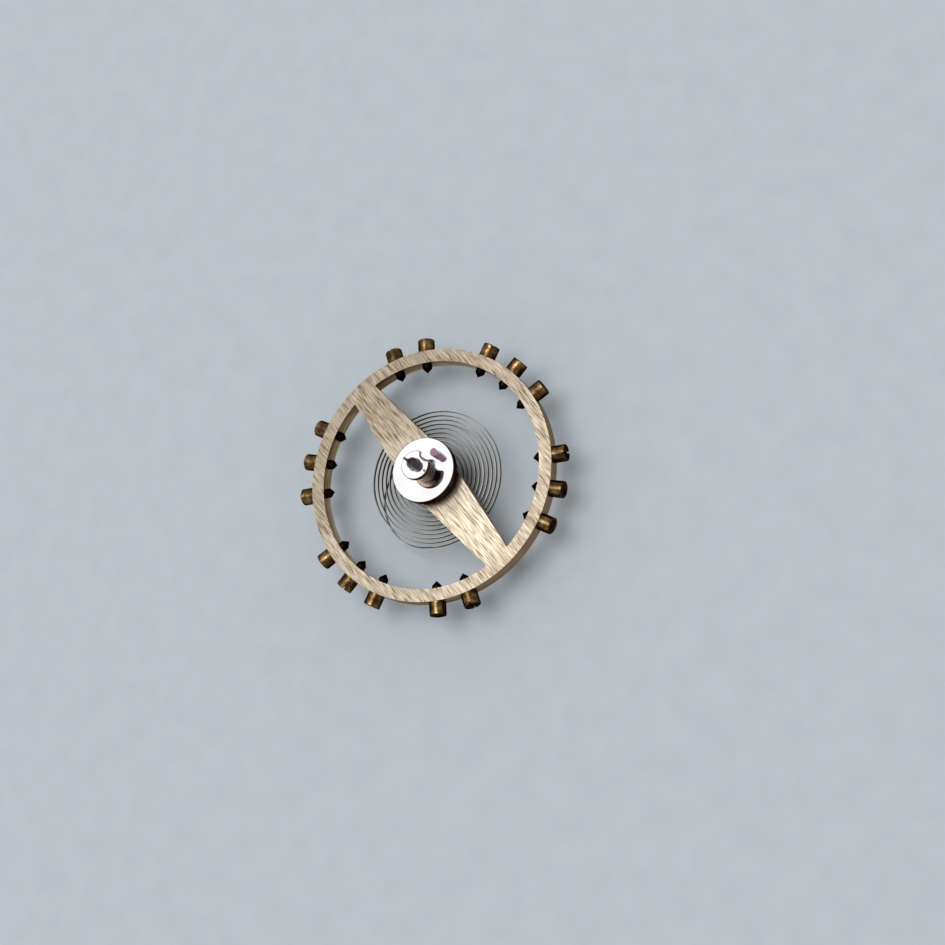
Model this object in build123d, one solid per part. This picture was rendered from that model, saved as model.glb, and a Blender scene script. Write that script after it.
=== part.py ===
from build123d import *
import math
import os

os.makedirs("parts", exist_ok=True)

# A balance wheel with its staff, double roller, overcoil hairspring and screws.
# Millimetres and degrees. The staff's axis is Z, the roller side is up, and the
# two arms lie along X. The origin is the tip of the lower pivot.

# Angles of a circle
full_turn = 360
half_turn = 180
quarter_turn = 90

# Fits
pressed_gap = 0.005
thread_clearance = 0.010
cut_overrun = 0.40

# Balance wheel: one-piece rim and arms
rim_outer_radius = 6.15
rim_width = 0.60
rim_height = 0.76
rim_edge_chamfer = 0.03
arm_thickness = 0.40
arm_width_at_rim = 1.30
arm_width_at_hub = 2.44
arm_waist_radius = 6.0
window_corner_radius = 0.05
arm_root_share = 0.50

# Balance screws
screw_head_diameter = 0.80
screw_head_length = 0.64
screw_head_chamfer = 0.05
screw_slot_width = 0.08
screw_slot_depth = 0.12
screw_slot_angle = 67
screw_shank_diameter = 0.46
screw_tip_standout = 0.43
screw_cone_length = 0.24
screw_first_angle = 24.7
screw_pitch_angle = 15
screw_places_used = (0, 1, 2, 4, 5, 6, 8, 9)
screw_sides = 2

# Balance staff: its whole length, and lengths from the lower pivot's tip upwards
staff_length = 5.056
lower_pivot_length = 0.40
lower_cone_length = 0.32
lower_arbor_length = 0.48
collet_end_gap = 0.05
rivet_lip_height = 0.06
staff_hub_height = 0.28
upper_arbor_length = 0.36
upper_pivot_length = 0.40
pivot_end_chamfer = 0.015

# Balance staff: each diameter steps out from the one before it
pivot_radius = 0.06
upper_arbor_radius = 0.27
safety_seat_step = 0.03
roller_seat_step = 0.12
wheel_seat_step = 0.13
staff_hub_step = 0.11
rivet_lip_step = 0.08
lower_arbor_radius = 0.25
collet_seat_step = 0.11

# Impulse jewel, a D-shaped ruby pin, and the shellac that holds it
jewel_angle = -90
jewel_radius = 0.20
jewel_flat_distance = 0.15
jewel_standout = 0.55
jewel_tail_length = 0.10
shellac_margin = 0.08
shellac_height = 0.12
shellac_chamfer = 0.05
shellac_to_hub_gap = 0.07

# Double roller
impulse_roller_margin = 0.36
impulse_roller_thickness = 0.40
roller_edge_chamfer = 0.03
jewel_to_safety_gap = 0.12
safety_roller_thickness = 0.26
safety_pipe_wall = 0.20
safety_pipe_length = 0.656
crescent_radius = 0.44
crescent_depth = 0.30

# Collet and the pin that locks the spring's inner end
collet_wall = 0.30
collet_height = 0.52
collet_chamfer = 0.03
collet_slit_width = 0.07
pinning_clearance = 0.017
pin_to_spring_gap = 0.008
pin_side_gap = 0.010
collet_pin_length = 0.62

# Hairspring: its ribbon and the spiral
ribbon_thickness = 0.045
ribbon_height = 0.16
spiral_turns = 12
spiral_outer_radius = 3.38
spiral_to_collet_gap = 0.24
spiral_end_angle = 140
elbow_radius = 0.20
inner_end_past_middle = 0.22
gap_points_per_arc = 24

# Overcoil: the ramp away from the wheel, the inward sweep and the pinned end
overcoil_drop = 0.55
ramp_angle = 28
ramp_sections = 14
sweep_radius = 2.45
sweep_angle = 118
outer_end_length = 1.00

# Hairspring stud, with a shank for the cock and a wider foot for the spring, and its pin
stud_shank_radius = 0.25
stud_shank_length = 0.69
stud_foot_step = 0.17
stud_foot_height = 0.36
stud_edge_chamfer = 0.03
stud_above_hole_centre = 0.20
stud_pin_length = 1.00

# Radii worked out from the sizes above
safety_seat_radius = upper_arbor_radius + safety_seat_step
roller_seat_radius = safety_seat_radius + roller_seat_step
wheel_seat_radius = roller_seat_radius + wheel_seat_step
staff_hub_radius = wheel_seat_radius + staff_hub_step
rivet_lip_radius = wheel_seat_radius + rivet_lip_step
collet_seat_radius = lower_arbor_radius + collet_seat_step
collet_outer_radius = collet_seat_radius + collet_wall
collet_hole_distance = collet_seat_radius + collet_wall / 2
pinning_hole_radius = math.hypot(ribbon_height, ribbon_thickness) / 2 + pinning_clearance
shellac_radius = jewel_radius + shellac_margin
jewel_place_radius = staff_hub_radius + shellac_to_hub_gap + shellac_radius
impulse_roller_radius = jewel_place_radius + jewel_radius + impulse_roller_margin
safety_roller_radius = jewel_place_radius - jewel_radius - jewel_to_safety_gap
safety_pipe_radius = safety_seat_radius + safety_pipe_wall
spiral_inner_radius = collet_outer_radius + spiral_to_collet_gap
spiral_pitch = (spiral_outer_radius - spiral_inner_radius) / (spiral_turns - 1 / 4)
rim_inner_radius = rim_outer_radius - rim_width

# Heights worked out from the sizes above
lower_cone_base = lower_pivot_length
lower_arbor_base = lower_cone_base + lower_cone_length
collet_seat_base = lower_arbor_base + lower_arbor_length
collet_base = collet_seat_base + collet_end_gap
spring_middle = collet_base + collet_height / 2
overcoil_middle = spring_middle - overcoil_drop
rivet_lip_base = collet_base + collet_height + collet_end_gap
arm_bottom = rivet_lip_base + rivet_lip_height
wheel_face = arm_bottom + arm_thickness
rim_bottom = wheel_face - rim_height
screw_axis_height = wheel_face - rim_height / 2
roller_bottom = wheel_face + staff_hub_height
roller_face = roller_bottom + impulse_roller_thickness
safety_disc_bottom = roller_face + safety_pipe_length
safety_face = safety_disc_bottom + safety_roller_thickness
upper_cone_base = safety_face + upper_arbor_length
upper_pivot_base = staff_length - upper_pivot_length


def direction(angle):
    """Unit vector in the plan at an angle from X."""
    return Vector(math.cos(math.radians(angle)), math.sin(math.radians(angle)))


def disc(radius, height, base):
    """Round block standing on the height base."""
    block = Cylinder(radius, height, align=(Align.CENTER, Align.CENTER, Align.MIN))
    return Pos(0, 0, base) * block


def turned(points):
    """Solid turned about Z from (radius, height) points."""
    outline = make_face(Polyline(*[(radius, 0, height) for radius, height in points], close=True))
    return revolve(outline, Axis.Z)


def keep(solid, name, colour):
    """Writes one node's solid to its own file."""
    solid.label = name
    solid.color = Color(*colour)
    export_step(solid, "parts/" + name + ".step")
    print(name, "volume", round(solid.volume, 5))


def arm_half_width(distance):
    """Half the arm's width at a distance from the axis: it tapers evenly to the rim."""
    taper = (arm_width_at_hub - arm_width_at_rim) / rim_inner_radius
    return (arm_width_at_hub - taper * distance) / 2


def arm_bar(reach):
    """Plan of the two arms as one bar, widest at the axis."""
    middle = arm_half_width(0)
    end = arm_half_width(reach)
    points = [(reach, end), (0, middle), (-reach, end), (-reach, -end), (0, -middle), (reach, -end)]
    return make_face(Polyline(*points, close=True))


def wheel_windows():
    """The two D-shaped openings between the arms and the rim, with rounded corners."""
    openings = Circle(rim_inner_radius) - arm_bar(rim_outer_radius)
    at_rim = [corner for corner in openings.vertices() if abs(corner.X) > rim_inner_radius / 2]
    openings = fillet(at_rim, window_corner_radius)
    at_waist = [corner for corner in openings.vertices() if abs(corner.X) < window_corner_radius]
    return fillet(at_waist, arm_waist_radius)


def rim_ring():
    """The rim, turned, with its outer edges broken."""
    root = rim_inner_radius
    points = [
        (root, rim_bottom),
        (rim_outer_radius - rim_edge_chamfer, rim_bottom),
        (rim_outer_radius, rim_bottom + rim_edge_chamfer),
        (rim_outer_radius, wheel_face - rim_edge_chamfer),
        (rim_outer_radius - rim_edge_chamfer, wheel_face),
        (root, wheel_face),
    ]
    return turned(points)


def screw_angles():
    """Where the screws stand round the rim."""
    side_step = full_turn / screw_sides
    angles = []
    for side in range(screw_sides):
        for place in screw_places_used:
            angles.append(screw_first_angle + place * screw_pitch_angle + side * side_step)
    return angles


def screw_hole(angle):
    """Radial hole through the rim for one screw."""
    length = rim_width + 2 * cut_overrun
    hole = Cylinder(screw_shank_diameter / 2 + thread_clearance, length)
    middle = rim_outer_radius - rim_width / 2
    return Rot(0, 0, angle) * Pos(middle, 0, screw_axis_height) * Rot(0, quarter_turn, 0) * hole


def balance_wheel():
    """Rim and two arms in one piece, with the staff's hole and the screws' holes."""
    web_reach = rim_inner_radius + rim_width * arm_root_share
    web = Pos(0, 0, arm_bottom) * extrude(Circle(web_reach) - wheel_windows(), arm_thickness)
    wheel = rim_ring() + web
    wheel -= disc(wheel_seat_radius + pressed_gap, arm_thickness + 2 * cut_overrun, arm_bottom - cut_overrun)
    for angle in screw_angles():
        wheel -= screw_hole(angle)
    return wheel


def balance_screw(angle, slot_angle):
    """Slotted cylinder-head screw with a pointed end, seated on the rim."""
    seat = rim_outer_radius
    head_end = seat + screw_head_length
    shank = screw_shank_diameter / 2
    head = screw_head_diameter / 2
    tip = rim_inner_radius - screw_tip_standout
    points = [
        (tip, 0),
        (tip + screw_cone_length, shank),
        (seat, shank),
        (seat, head),
        (head_end - screw_head_chamfer, head),
        (head_end, head - screw_head_chamfer),
        (head_end, 0),
    ]
    screw = revolve(make_face(Polyline(*points, close=True)), Axis.X)
    slot_middle = head_end + (cut_overrun - screw_slot_depth) / 2
    slot_reach = screw_head_diameter + 2 * cut_overrun
    slot = Box(screw_slot_depth + cut_overrun, slot_reach, screw_slot_width)
    slot = Pos(slot_middle, 0, 0) * Rot(slot_angle, 0, 0) * slot
    return Rot(0, 0, angle) * Pos(0, 0, screw_axis_height) * (screw - slot)


def balance_staff():
    """The axle, with a pivot at each end, turned in one piece."""
    points = [
        (0, 0),
        (pivot_radius - pivot_end_chamfer, 0),
        (pivot_radius, pivot_end_chamfer),
        (pivot_radius, lower_cone_base),
        (lower_arbor_radius, lower_arbor_base),
        (lower_arbor_radius, collet_seat_base),
        (collet_seat_radius, collet_seat_base),
        (collet_seat_radius, rivet_lip_base),
        (rivet_lip_radius, rivet_lip_base),
        (rivet_lip_radius, arm_bottom),
        (wheel_seat_radius, arm_bottom),
        (wheel_seat_radius, wheel_face),
        (staff_hub_radius, wheel_face),
        (staff_hub_radius, roller_bottom),
        (roller_seat_radius, roller_bottom),
        (roller_seat_radius, roller_face),
        (safety_seat_radius, roller_face),
        (safety_seat_radius, safety_face),
        (upper_arbor_radius, safety_face),
        (upper_arbor_radius, upper_cone_base),
        (pivot_radius, upper_pivot_base),
        (pivot_radius, staff_length - pivot_end_chamfer),
        (pivot_radius - pivot_end_chamfer, staff_length),
        (0, staff_length),
    ]
    return turned(points)


def jewel_section(grown):
    """D-shaped section of the jewel, grown all round by a gap, flat side outwards."""
    middle = direction(jewel_angle) * jewel_place_radius
    radius = jewel_radius + grown
    flat = jewel_flat_distance + grown
    trim = Pos(flat + radius / 2, 0) * Rectangle(radius, 2 * radius + cut_overrun)
    return Pos(middle.X, middle.Y) * Rot(0, 0, jewel_angle) * (Circle(radius) - trim)


def impulse_roller():
    """Table roller that carries the jewel."""
    edge = roller_edge_chamfer
    bore = roller_seat_radius + pressed_gap
    points = [
        (bore, roller_bottom),
        (impulse_roller_radius - edge, roller_bottom),
        (impulse_roller_radius, roller_bottom + edge),
        (impulse_roller_radius, roller_face - edge),
        (impulse_roller_radius - edge, roller_face),
        (bore, roller_face),
    ]
    hole = extrude(jewel_section(pressed_gap), impulse_roller_thickness + 2 * cut_overrun)
    return turned(points) - Pos(0, 0, roller_bottom - cut_overrun) * hole


def safety_roller():
    """Small roller on its pipe, with the passing crescent beside the jewel."""
    edge = roller_edge_chamfer
    bore = safety_seat_radius + pressed_gap
    points = [
        (bore, roller_face + pressed_gap),
        (safety_pipe_radius, roller_face + pressed_gap),
        (safety_pipe_radius, safety_disc_bottom),
        (safety_roller_radius - edge, safety_disc_bottom),
        (safety_roller_radius, safety_disc_bottom + edge),
        (safety_roller_radius, safety_face - edge),
        (safety_roller_radius - edge, safety_face),
        (bore, safety_face),
    ]
    crescent_distance = safety_roller_radius - crescent_depth + crescent_radius
    place = direction(jewel_angle) * crescent_distance
    height = safety_roller_thickness + 2 * cut_overrun
    crescent = Pos(place.X, place.Y) * disc(crescent_radius, height, safety_disc_bottom - cut_overrun)
    pipe = disc(safety_pipe_radius, safety_pipe_length, roller_face)
    return turned(points) - (crescent - pipe)


def impulse_jewel():
    """Ruby pin, standing from the roller's face, with its tail in the shellac."""
    length = jewel_tail_length + impulse_roller_thickness + jewel_standout
    return Pos(0, 0, roller_bottom - jewel_tail_length) * extrude(jewel_section(0), length)


def jewel_shellac():
    """Bead of shellac on the back of the roller, round the jewel's tail."""
    place = direction(jewel_angle) * jewel_place_radius
    bead = disc(shellac_radius, shellac_height, roller_bottom - pressed_gap - shellac_height)
    rounded = chamfer(bead.edges().sort_by(Axis.Z)[0], shellac_chamfer)
    pocket = extrude(jewel_section(pressed_gap), shellac_height + cut_overrun)
    pocket = Pos(0, 0, roller_bottom - jewel_tail_length - pressed_gap) * pocket
    return Pos(place.X, place.Y) * rounded - pocket


def elbow_places():
    """Centre of the spring's elbow, and the outward normal of its straight inner end."""
    outwards = direction(spiral_end_angle)
    first_centre = outwards * (-spiral_pitch / 4)
    elbow_centre = first_centre + outwards * (spiral_inner_radius - elbow_radius)
    reach = elbow_centre.length
    turn = math.degrees(math.acos((collet_hole_distance - elbow_radius) / reach))
    heading = math.degrees(math.atan2(elbow_centre.Y, elbow_centre.X))
    return elbow_centre, heading + turn


def inner_end_places():
    """Start and end of the straight part that is pinned in the collet."""
    elbow_centre, normal_angle = elbow_places()
    normal = direction(normal_angle)
    inwards = direction(normal_angle + quarter_turn)
    bend = elbow_centre + normal * elbow_radius
    tail = normal * collet_hole_distance + inwards * inner_end_past_middle
    return tail, bend


def spiral_side(offset):
    """One side of the spiral ribbon in plan, from the collet outwards."""
    tail, bend = inner_end_places()
    elbow_centre, normal_angle = elbow_places()
    shift = direction(normal_angle) * offset
    elbow_turn = spiral_end_angle - normal_angle
    edges = [Line(tail + shift, bend + shift)]
    edges.append(CenterArc(elbow_centre, elbow_radius + offset, normal_angle, elbow_turn))
    outwards = direction(spiral_end_angle)
    for half in range(2 * spiral_turns):
        side = 1 if half % 2 else -1
        centre = outwards * (side * spiral_pitch / 4)
        radius = spiral_inner_radius + half * spiral_pitch / 2 + offset
        start = spiral_end_angle - half * half_turn
        edges.append(CenterArc(centre, radius, start, -half_turn))
    return edges


def sweep_places():
    """Centre, start and end angle of the overcoil's inward sweep."""
    start = spiral_end_angle - ramp_angle
    centre = direction(start) * (spiral_outer_radius - sweep_radius)
    return centre, start, start - sweep_angle


def outer_end_start():
    """Where the straight outer end leaves the sweep, and its heading."""
    centre, start, end = sweep_places()
    return centre + direction(end) * sweep_radius, direction(end - quarter_turn)


def overcoil_side(offset):
    """One side of the level part of the overcoil in plan."""
    centre, start, end = sweep_places()
    shift = direction(end) * offset
    place, heading = outer_end_start()
    arc = CenterArc(centre, sweep_radius + offset, start, -sweep_angle)
    return [arc, Line(place + shift, place + shift + heading * outer_end_length)]


def ribbon(sides, middle):
    """Upright ribbon between two sides drawn in plan."""
    outer, inner = sides
    caps = [Line(outer[0] @ 0, inner[0] @ 0), Line(outer[-1] @ 1, inner[-1] @ 1)]
    face = make_face(Curve() + outer + inner + caps)
    return Pos(0, 0, middle - ribbon_height / 2) * extrude(face, ribbon_height)


def ramp_drop(share):
    """How far the ramp has come down at a share of its run, level at both ends."""
    return overcoil_drop * (3 * share**2 - 2 * share**3)


def ramp():
    """The stretch where the outermost turn drops to the overcoil's level."""
    sections = []
    for step in range(ramp_sections + 1):
        share = step / ramp_sections
        outwards = direction(spiral_end_angle - share * ramp_angle)
        height = spring_middle - ramp_drop(share)
        place = outwards * spiral_outer_radius + Vector(0, 0, height)
        plane = Plane(origin=place, x_dir=outwards, z_dir=outwards.cross(Vector(0, 0, 1)))
        sections.append(plane * Rectangle(ribbon_thickness, ribbon_height))
    return loft(sections, ruled=True)


def hairspring():
    """Spiral, ramp and overcoil as one unbroken ribbon."""
    half = ribbon_thickness / 2
    spiral = ribbon((spiral_side(half), spiral_side(-half)), spring_middle)
    overcoil = ribbon((overcoil_side(half), overcoil_side(-half)), overcoil_middle)
    return spiral + ramp() + overcoil


def hairspring_collet():
    """Split ring pressed on the staff, with the hole for the spring's inner end."""
    edge = collet_chamfer
    bore = collet_seat_radius + pressed_gap
    top = collet_base + collet_height
    points = [
        (bore, collet_base),
        (collet_outer_radius - edge, collet_base),
        (collet_outer_radius, collet_base + edge),
        (collet_outer_radius, top - edge),
        (collet_outer_radius - edge, top),
        (bore, top),
    ]
    normal_angle = elbow_places()[1]
    place = direction(normal_angle) * collet_hole_distance
    hole = Rot(quarter_turn, 0, 0) * Cylinder(pinning_hole_radius, 2 * collet_outer_radius + cut_overrun)
    hole = Pos(place.X, place.Y, spring_middle) * Rot(0, 0, normal_angle) * hole
    slit_reach = collet_outer_radius + cut_overrun
    slit = Box(slit_reach, collet_slit_width, collet_height + cut_overrun)
    slit = Rot(0, 0, normal_angle + half_turn) * Pos(slit_reach / 2, 0, spring_middle) * slit
    return turned(points) - hole - slit


def half_pin(length):
    """Pin along Y, round on its outer side and filed flat towards the ribbon."""
    radius = pinning_hole_radius - pin_side_gap
    flat = ribbon_thickness / 2 + pin_to_spring_gap
    trim_width = 2 * radius + cut_overrun
    trim = Pos(flat - trim_width / 2, 0) * Rectangle(trim_width, 2 * trim_width)
    section = Plane.XZ * (Circle(radius) - trim)
    return extrude(section, length / 2, both=True)


def collet_pin():
    """Pin that locks the spring in the collet."""
    normal_angle = elbow_places()[1]
    place = direction(normal_angle) * collet_hole_distance
    return Pos(place.X, place.Y, spring_middle) * Rot(0, 0, normal_angle) * half_pin(collet_pin_length)


def stud_place():
    """Centre of the stud in plan, halfway along the spring's straight outer end."""
    place, heading = outer_end_start()
    return place + heading * (outer_end_length / 2)


def hairspring_stud():
    """Stud whose shank the cock clamps, and whose foot is drilled for the spring's outer end."""
    place = stud_place()
    end = sweep_places()[2]
    edge = stud_edge_chamfer
    shank = stud_shank_radius
    foot = stud_shank_radius + stud_foot_step
    top = overcoil_middle + stud_above_hole_centre
    shoulder = top - stud_foot_height
    base = shoulder - stud_shank_length
    points = [
        (0, base),
        (shank - edge, base),
        (shank, base + edge),
        (shank, shoulder),
        (foot, shoulder),
        (foot, top - edge),
        (foot - edge, top),
        (0, top),
    ]
    body = turned(points)
    hole = Rot(quarter_turn, 0, 0) * Cylinder(pinning_hole_radius, 2 * foot + cut_overrun)
    hole = Pos(0, 0, overcoil_middle) * Rot(0, 0, end) * hole
    return Pos(place.X, place.Y) * (body - hole)


def stud_pin():
    """Pin that locks the spring in the stud."""
    place = stud_place()
    end = sweep_places()[2]
    return Pos(place.X, place.Y, overcoil_middle) * Rot(0, 0, end) * half_pin(stud_pin_length)


def centreline():
    """Points along the ribbon's middle, in order from the collet to the stud."""
    points = []
    levels = ((spiral_side(0), spring_middle), (overcoil_side(0), overcoil_middle))
    for edges, height in levels:
        for edge in edges:
            for step in range(gap_points_per_arc):
                place = edge @ (step / gap_points_per_arc)
                points.append(Vector(place.X, place.Y, height))
    return points


def least_gap():
    """Least clear distance from one turn of the ribbon to another."""
    points = centreline()
    nearest = spiral_outer_radius
    for first in range(len(points)):
        for second in range(first + gap_points_per_arc, len(points)):
            nearest = min(nearest, (points[first] - points[second]).length)
    return nearest - ribbon_thickness


brass = (0.80, 0.70, 0.48)
bronze = (0.36, 0.27, 0.18)
steel = (0.72, 0.73, 0.75)
spring_steel = (0.55, 0.55, 0.52)
ruby = (0.72, 0.16, 0.38)
amber = (0.62, 0.36, 0.10)

keep(balance_wheel(), "balance_wheel", brass)
keep(balance_staff(), "balance_staff", steel)
keep(impulse_roller(), "impulse_roller", steel)
keep(safety_roller(), "safety_roller", steel)
keep(impulse_jewel(), "impulse_jewel", ruby)
keep(jewel_shellac(), "jewel_shellac", amber)
keep(hairspring(), "hairspring", spring_steel)
keep(hairspring_collet(), "hairspring_collet", brass)
keep(collet_pin(), "collet_pin", brass)
keep(hairspring_stud(), "hairspring_stud", steel)
keep(stud_pin(), "stud_pin", brass)
for number, angle in enumerate(screw_angles(), start=1):
    keep(balance_screw(angle, number * screw_slot_angle), f"balance_screw_{number:02d}", bronze)

print("hairspring: pitch", round(spiral_pitch, 4), "least gap to itself", round(least_gap(), 4))
print("wheel face at", round(wheel_face, 3), "staff length", round(staff_length, 3))
print("stud at", round(stud_place().X, 4), round(stud_place().Y, 4))
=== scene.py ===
import logging
import math
from collections.abc import Sequence
from dataclasses import dataclass, field
from enum import Enum
from typing import ClassVar

import bmesh
import bpy
from mathutils import Matrix, Vector
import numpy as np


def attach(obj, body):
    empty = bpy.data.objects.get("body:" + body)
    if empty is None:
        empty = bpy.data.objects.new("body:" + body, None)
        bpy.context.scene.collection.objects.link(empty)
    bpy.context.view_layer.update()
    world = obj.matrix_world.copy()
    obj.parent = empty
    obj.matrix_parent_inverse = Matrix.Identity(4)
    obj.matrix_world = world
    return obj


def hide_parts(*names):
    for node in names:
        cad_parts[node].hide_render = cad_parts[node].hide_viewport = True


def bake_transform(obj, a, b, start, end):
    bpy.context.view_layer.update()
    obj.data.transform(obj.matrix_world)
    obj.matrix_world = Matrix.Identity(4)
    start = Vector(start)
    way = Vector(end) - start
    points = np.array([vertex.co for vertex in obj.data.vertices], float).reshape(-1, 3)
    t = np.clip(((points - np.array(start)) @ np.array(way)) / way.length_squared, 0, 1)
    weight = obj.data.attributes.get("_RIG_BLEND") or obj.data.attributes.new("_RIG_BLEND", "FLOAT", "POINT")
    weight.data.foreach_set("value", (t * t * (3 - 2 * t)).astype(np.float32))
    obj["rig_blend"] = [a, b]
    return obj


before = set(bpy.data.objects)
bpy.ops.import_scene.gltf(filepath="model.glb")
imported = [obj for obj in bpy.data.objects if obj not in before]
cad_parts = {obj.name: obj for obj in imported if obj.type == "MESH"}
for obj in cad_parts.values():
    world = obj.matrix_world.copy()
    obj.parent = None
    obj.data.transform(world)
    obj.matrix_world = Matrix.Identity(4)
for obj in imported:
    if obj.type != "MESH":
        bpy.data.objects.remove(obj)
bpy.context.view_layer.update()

# The looks of a watch balance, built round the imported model: the wheel and its
# screws, the staff, the double roller with its jewel, and the hairspring with its
# collet and stud. Sizes are in millimetres and angles in degrees. The staff's axis
# is Z with the rollers up, and the arms lie along X.

MM = 0.001
MERGE_DISTANCE = 1e-4
ROUND_SEGMENTS = 3
EDGE_SEGMENTS = 2
DRILL_STEPS = 48
SHARP_ANGLE = 30.0
FULL_TURN = 360.0
HALF_TURN = 180.0
QUARTER_TURN = 90.0
ORIGIN = Vector((0.0, 0.0, 0.0))
UP = Vector((0.0, 0.0, 1.0))
FLAT_NORMAL = 0.999
SLANTED_NORMAL = 0.2
LATHE_COORDINATES = "lathe"
RUN_COORDINATES = "run"
KIND_LAYER = "kind"

Colour = tuple[float, float, float]
Triple = tuple[float, float, float]
Socket = bpy.types.NodeSocket
Given = Socket | float | Triple
Geometry = list[bmesh.types.BMVert | bmesh.types.BMEdge | bmesh.types.BMFace]

log = logging.getLogger("balance")


class Body(Enum):
    """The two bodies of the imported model."""

    BALANCE = "balance"
    STUD = "stud"


class Slot(Enum):
    """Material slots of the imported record."""

    WHEEL = "gilt_brass"
    SCREW = "dark_bronze"
    STAFF = "polished_steel"
    ROLLER = "mirror_steel"
    JEWEL = "ruby"
    SHELLAC = "shellac"
    SPRING = "spring_steel"
    COLLET = "collet_brass"


@dataclass(frozen=True)
class Corner:
    """One corner of a turned profile, and how far it is rounded."""

    radius: float
    height: float
    rounding: float = 0.0


def plan(angle: float, radius: float = 1.0, height: float = 0.0) -> Vector:
    """Finds a place seen from above.

    Args:
        angle: Direction from X, in degrees.
        radius: Distance from the axis.
        height: Height above the origin.

    Returns:
        The place as a vector.
    """
    turn = math.radians(angle)
    return Vector((radius * math.cos(turn), radius * math.sin(turn), height))


def turned_by(angle: float, axis: str = "Z") -> Matrix:
    """Rotation by an angle in degrees about one of the main axes."""
    return Matrix.Rotation(math.radians(angle), 4, axis)


class Graph:
    """The node tree of one material, with short calls for what the finishes share."""

    def __init__(self, name: str) -> None:
        """Starts a material with its shader."""
        self.material = bpy.data.materials.new(name)
        self.material.use_nodes = True
        self.nodes = self.material.node_tree.nodes
        self.links = self.material.node_tree.links
        self.shader = self.nodes["Principled BSDF"]

    def set(self, socket: str, value: float | Colour) -> None:
        """Sets one of the shader's own sockets.

        Args:
            socket: The socket's name.
            value: A number, or a colour without its alpha.
        """
        whole = (*value, 1.0) if isinstance(value, tuple) else value
        self.shader.inputs[socket].default_value = whole

    def feed(self, socket: str, source: Socket) -> None:
        """Links a node's result to one of the shader's sockets."""
        self.links.new(source, self.shader.inputs[socket])

    def node(
        self, kind: str, inputs: dict[str | int, Given], operation: str = ""
    ) -> bpy.types.Node:
        """Adds a node.

        Args:
            kind: The node's type.
            inputs: What its sockets get: another node's result, or a value.
            operation: Which sum a maths node works out.

        Returns:
            The node.
        """
        made = self.nodes.new(kind)
        if operation:
            made.operation = operation
        for socket, given in inputs.items():
            if isinstance(given, Socket):
                self.links.new(given, made.inputs[socket])
            else:
                made.inputs[socket].default_value = given
        return made

    def place(self, scale: Triple, attribute: str = "") -> Socket:
        """Stretches the coordinates that a pattern is read from.

        Args:
            scale: Cells per metre along X, Y and Z.
            attribute: The piece's own coordinates, or nothing for the object's.

        Returns:
            The stretched coordinates.
        """
        if attribute:
            source = self.nodes.new("ShaderNodeAttribute")
            source.attribute_name = attribute
            coordinates = source.outputs["Vector"]
        else:
            coordinates = self.nodes.new("ShaderNodeTexCoord").outputs["Object"]
        inputs = {"Vector": coordinates, "Scale": scale}
        return self.node("ShaderNodeMapping", inputs).outputs["Vector"]

    def noise(self, vector: Socket, detail: float = 3.0, rough: float = 0.55) -> Socket:
        """Noise over placed coordinates.

        Args:
            vector: Coordinates from place().
            detail: How many finer layers are added.
            rough: How strong the finer layers are.

        Returns:
            The noise, from 0 to 1 and mostly near a half.
        """
        inputs = {"Vector": vector, "Scale": 1.0, "Detail": detail, "Roughness": rough}
        return self.node("ShaderNodeTexNoise", inputs).outputs["Fac"]

    def mix(self, first: Socket, second: Socket, share: float | Socket) -> Socket:
        """Mixes two patterns.

        Args:
            first: Pattern that counts fully at share 0.
            second: Pattern that counts fully at share 1.
            share: The second pattern's part, a number or a pattern itself.

        Returns:
            The mixed pattern.
        """
        inputs = {"Factor": share, "A": first, "B": second}
        return self.node("ShaderNodeMix", inputs).outputs["Result"]

    def ramp(self, pattern: Socket, stops: Sequence[tuple[float, Colour]]) -> Socket:
        """Colours a pattern.

        Args:
            pattern: Pattern from 0 to 1.
            stops: Places on the ramp with their colours, in order.

        Returns:
            The colour.
        """
        node = self.node("ShaderNodeValToRGB", {"Fac": pattern})
        elements = node.color_ramp.elements
        for element, (position, colour) in zip(elements, (stops[0], stops[-1])):
            element.position, element.color = position, (*colour, 1.0)
        for position, colour in stops[1:-1]:
            elements.new(position).color = (*colour, 1.0)
        return node.outputs["Color"]

    def span(
        self,
        pattern: Socket,
        low: float,
        high: float,
        source: tuple[float, float] = (0.3, 0.7),
    ) -> Socket:
        """Spreads part of a pattern over a range of values.

        Args:
            pattern: Pattern, mostly between 0.3 and 0.7 if it is noise.
            low: Value at the source range's start and below.
            high: Value at the source range's end and above.
            source: The part of the pattern that is spread.

        Returns:
            The spread values.
        """
        limits = zip(("From Min", "From Max", "To Min", "To Max"), (*source, low, high))
        inputs = {"Value": pattern, **dict(limits)}
        return self.node("ShaderNodeMapRange", inputs).outputs["Result"]

    def slope(self, rise: Triple, base: float) -> Socket:
        """Rises evenly across the object.

        Args:
            rise: Rise per metre along X, Y and Z.
            base: Value at the origin.

        Returns:
            The slope.
        """
        place = self.nodes.new("ShaderNodeTexCoord").outputs["Object"]
        along = self.node("ShaderNodeVectorMath", {0: place, 1: rise}, "DOT_PRODUCT")
        inputs = {0: along.outputs["Value"], 1: base}
        return self.node("ShaderNodeMath", inputs, "ADD").outputs["Value"]

    def radius(self) -> Socket:
        """Distance from the object's Z axis, in metres."""
        inputs = {0: self.place((1.0, 1.0, 0.0))}
        return self.node("ShaderNodeVectorMath", inputs, "LENGTH").outputs["Value"]

    def product(self, first: Socket, second: Socket) -> Socket:
        """Multiplies two colours."""
        inputs = {0: first, 1: second}
        return self.node("ShaderNodeVectorMath", inputs, "MULTIPLY").outputs["Vector"]

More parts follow.
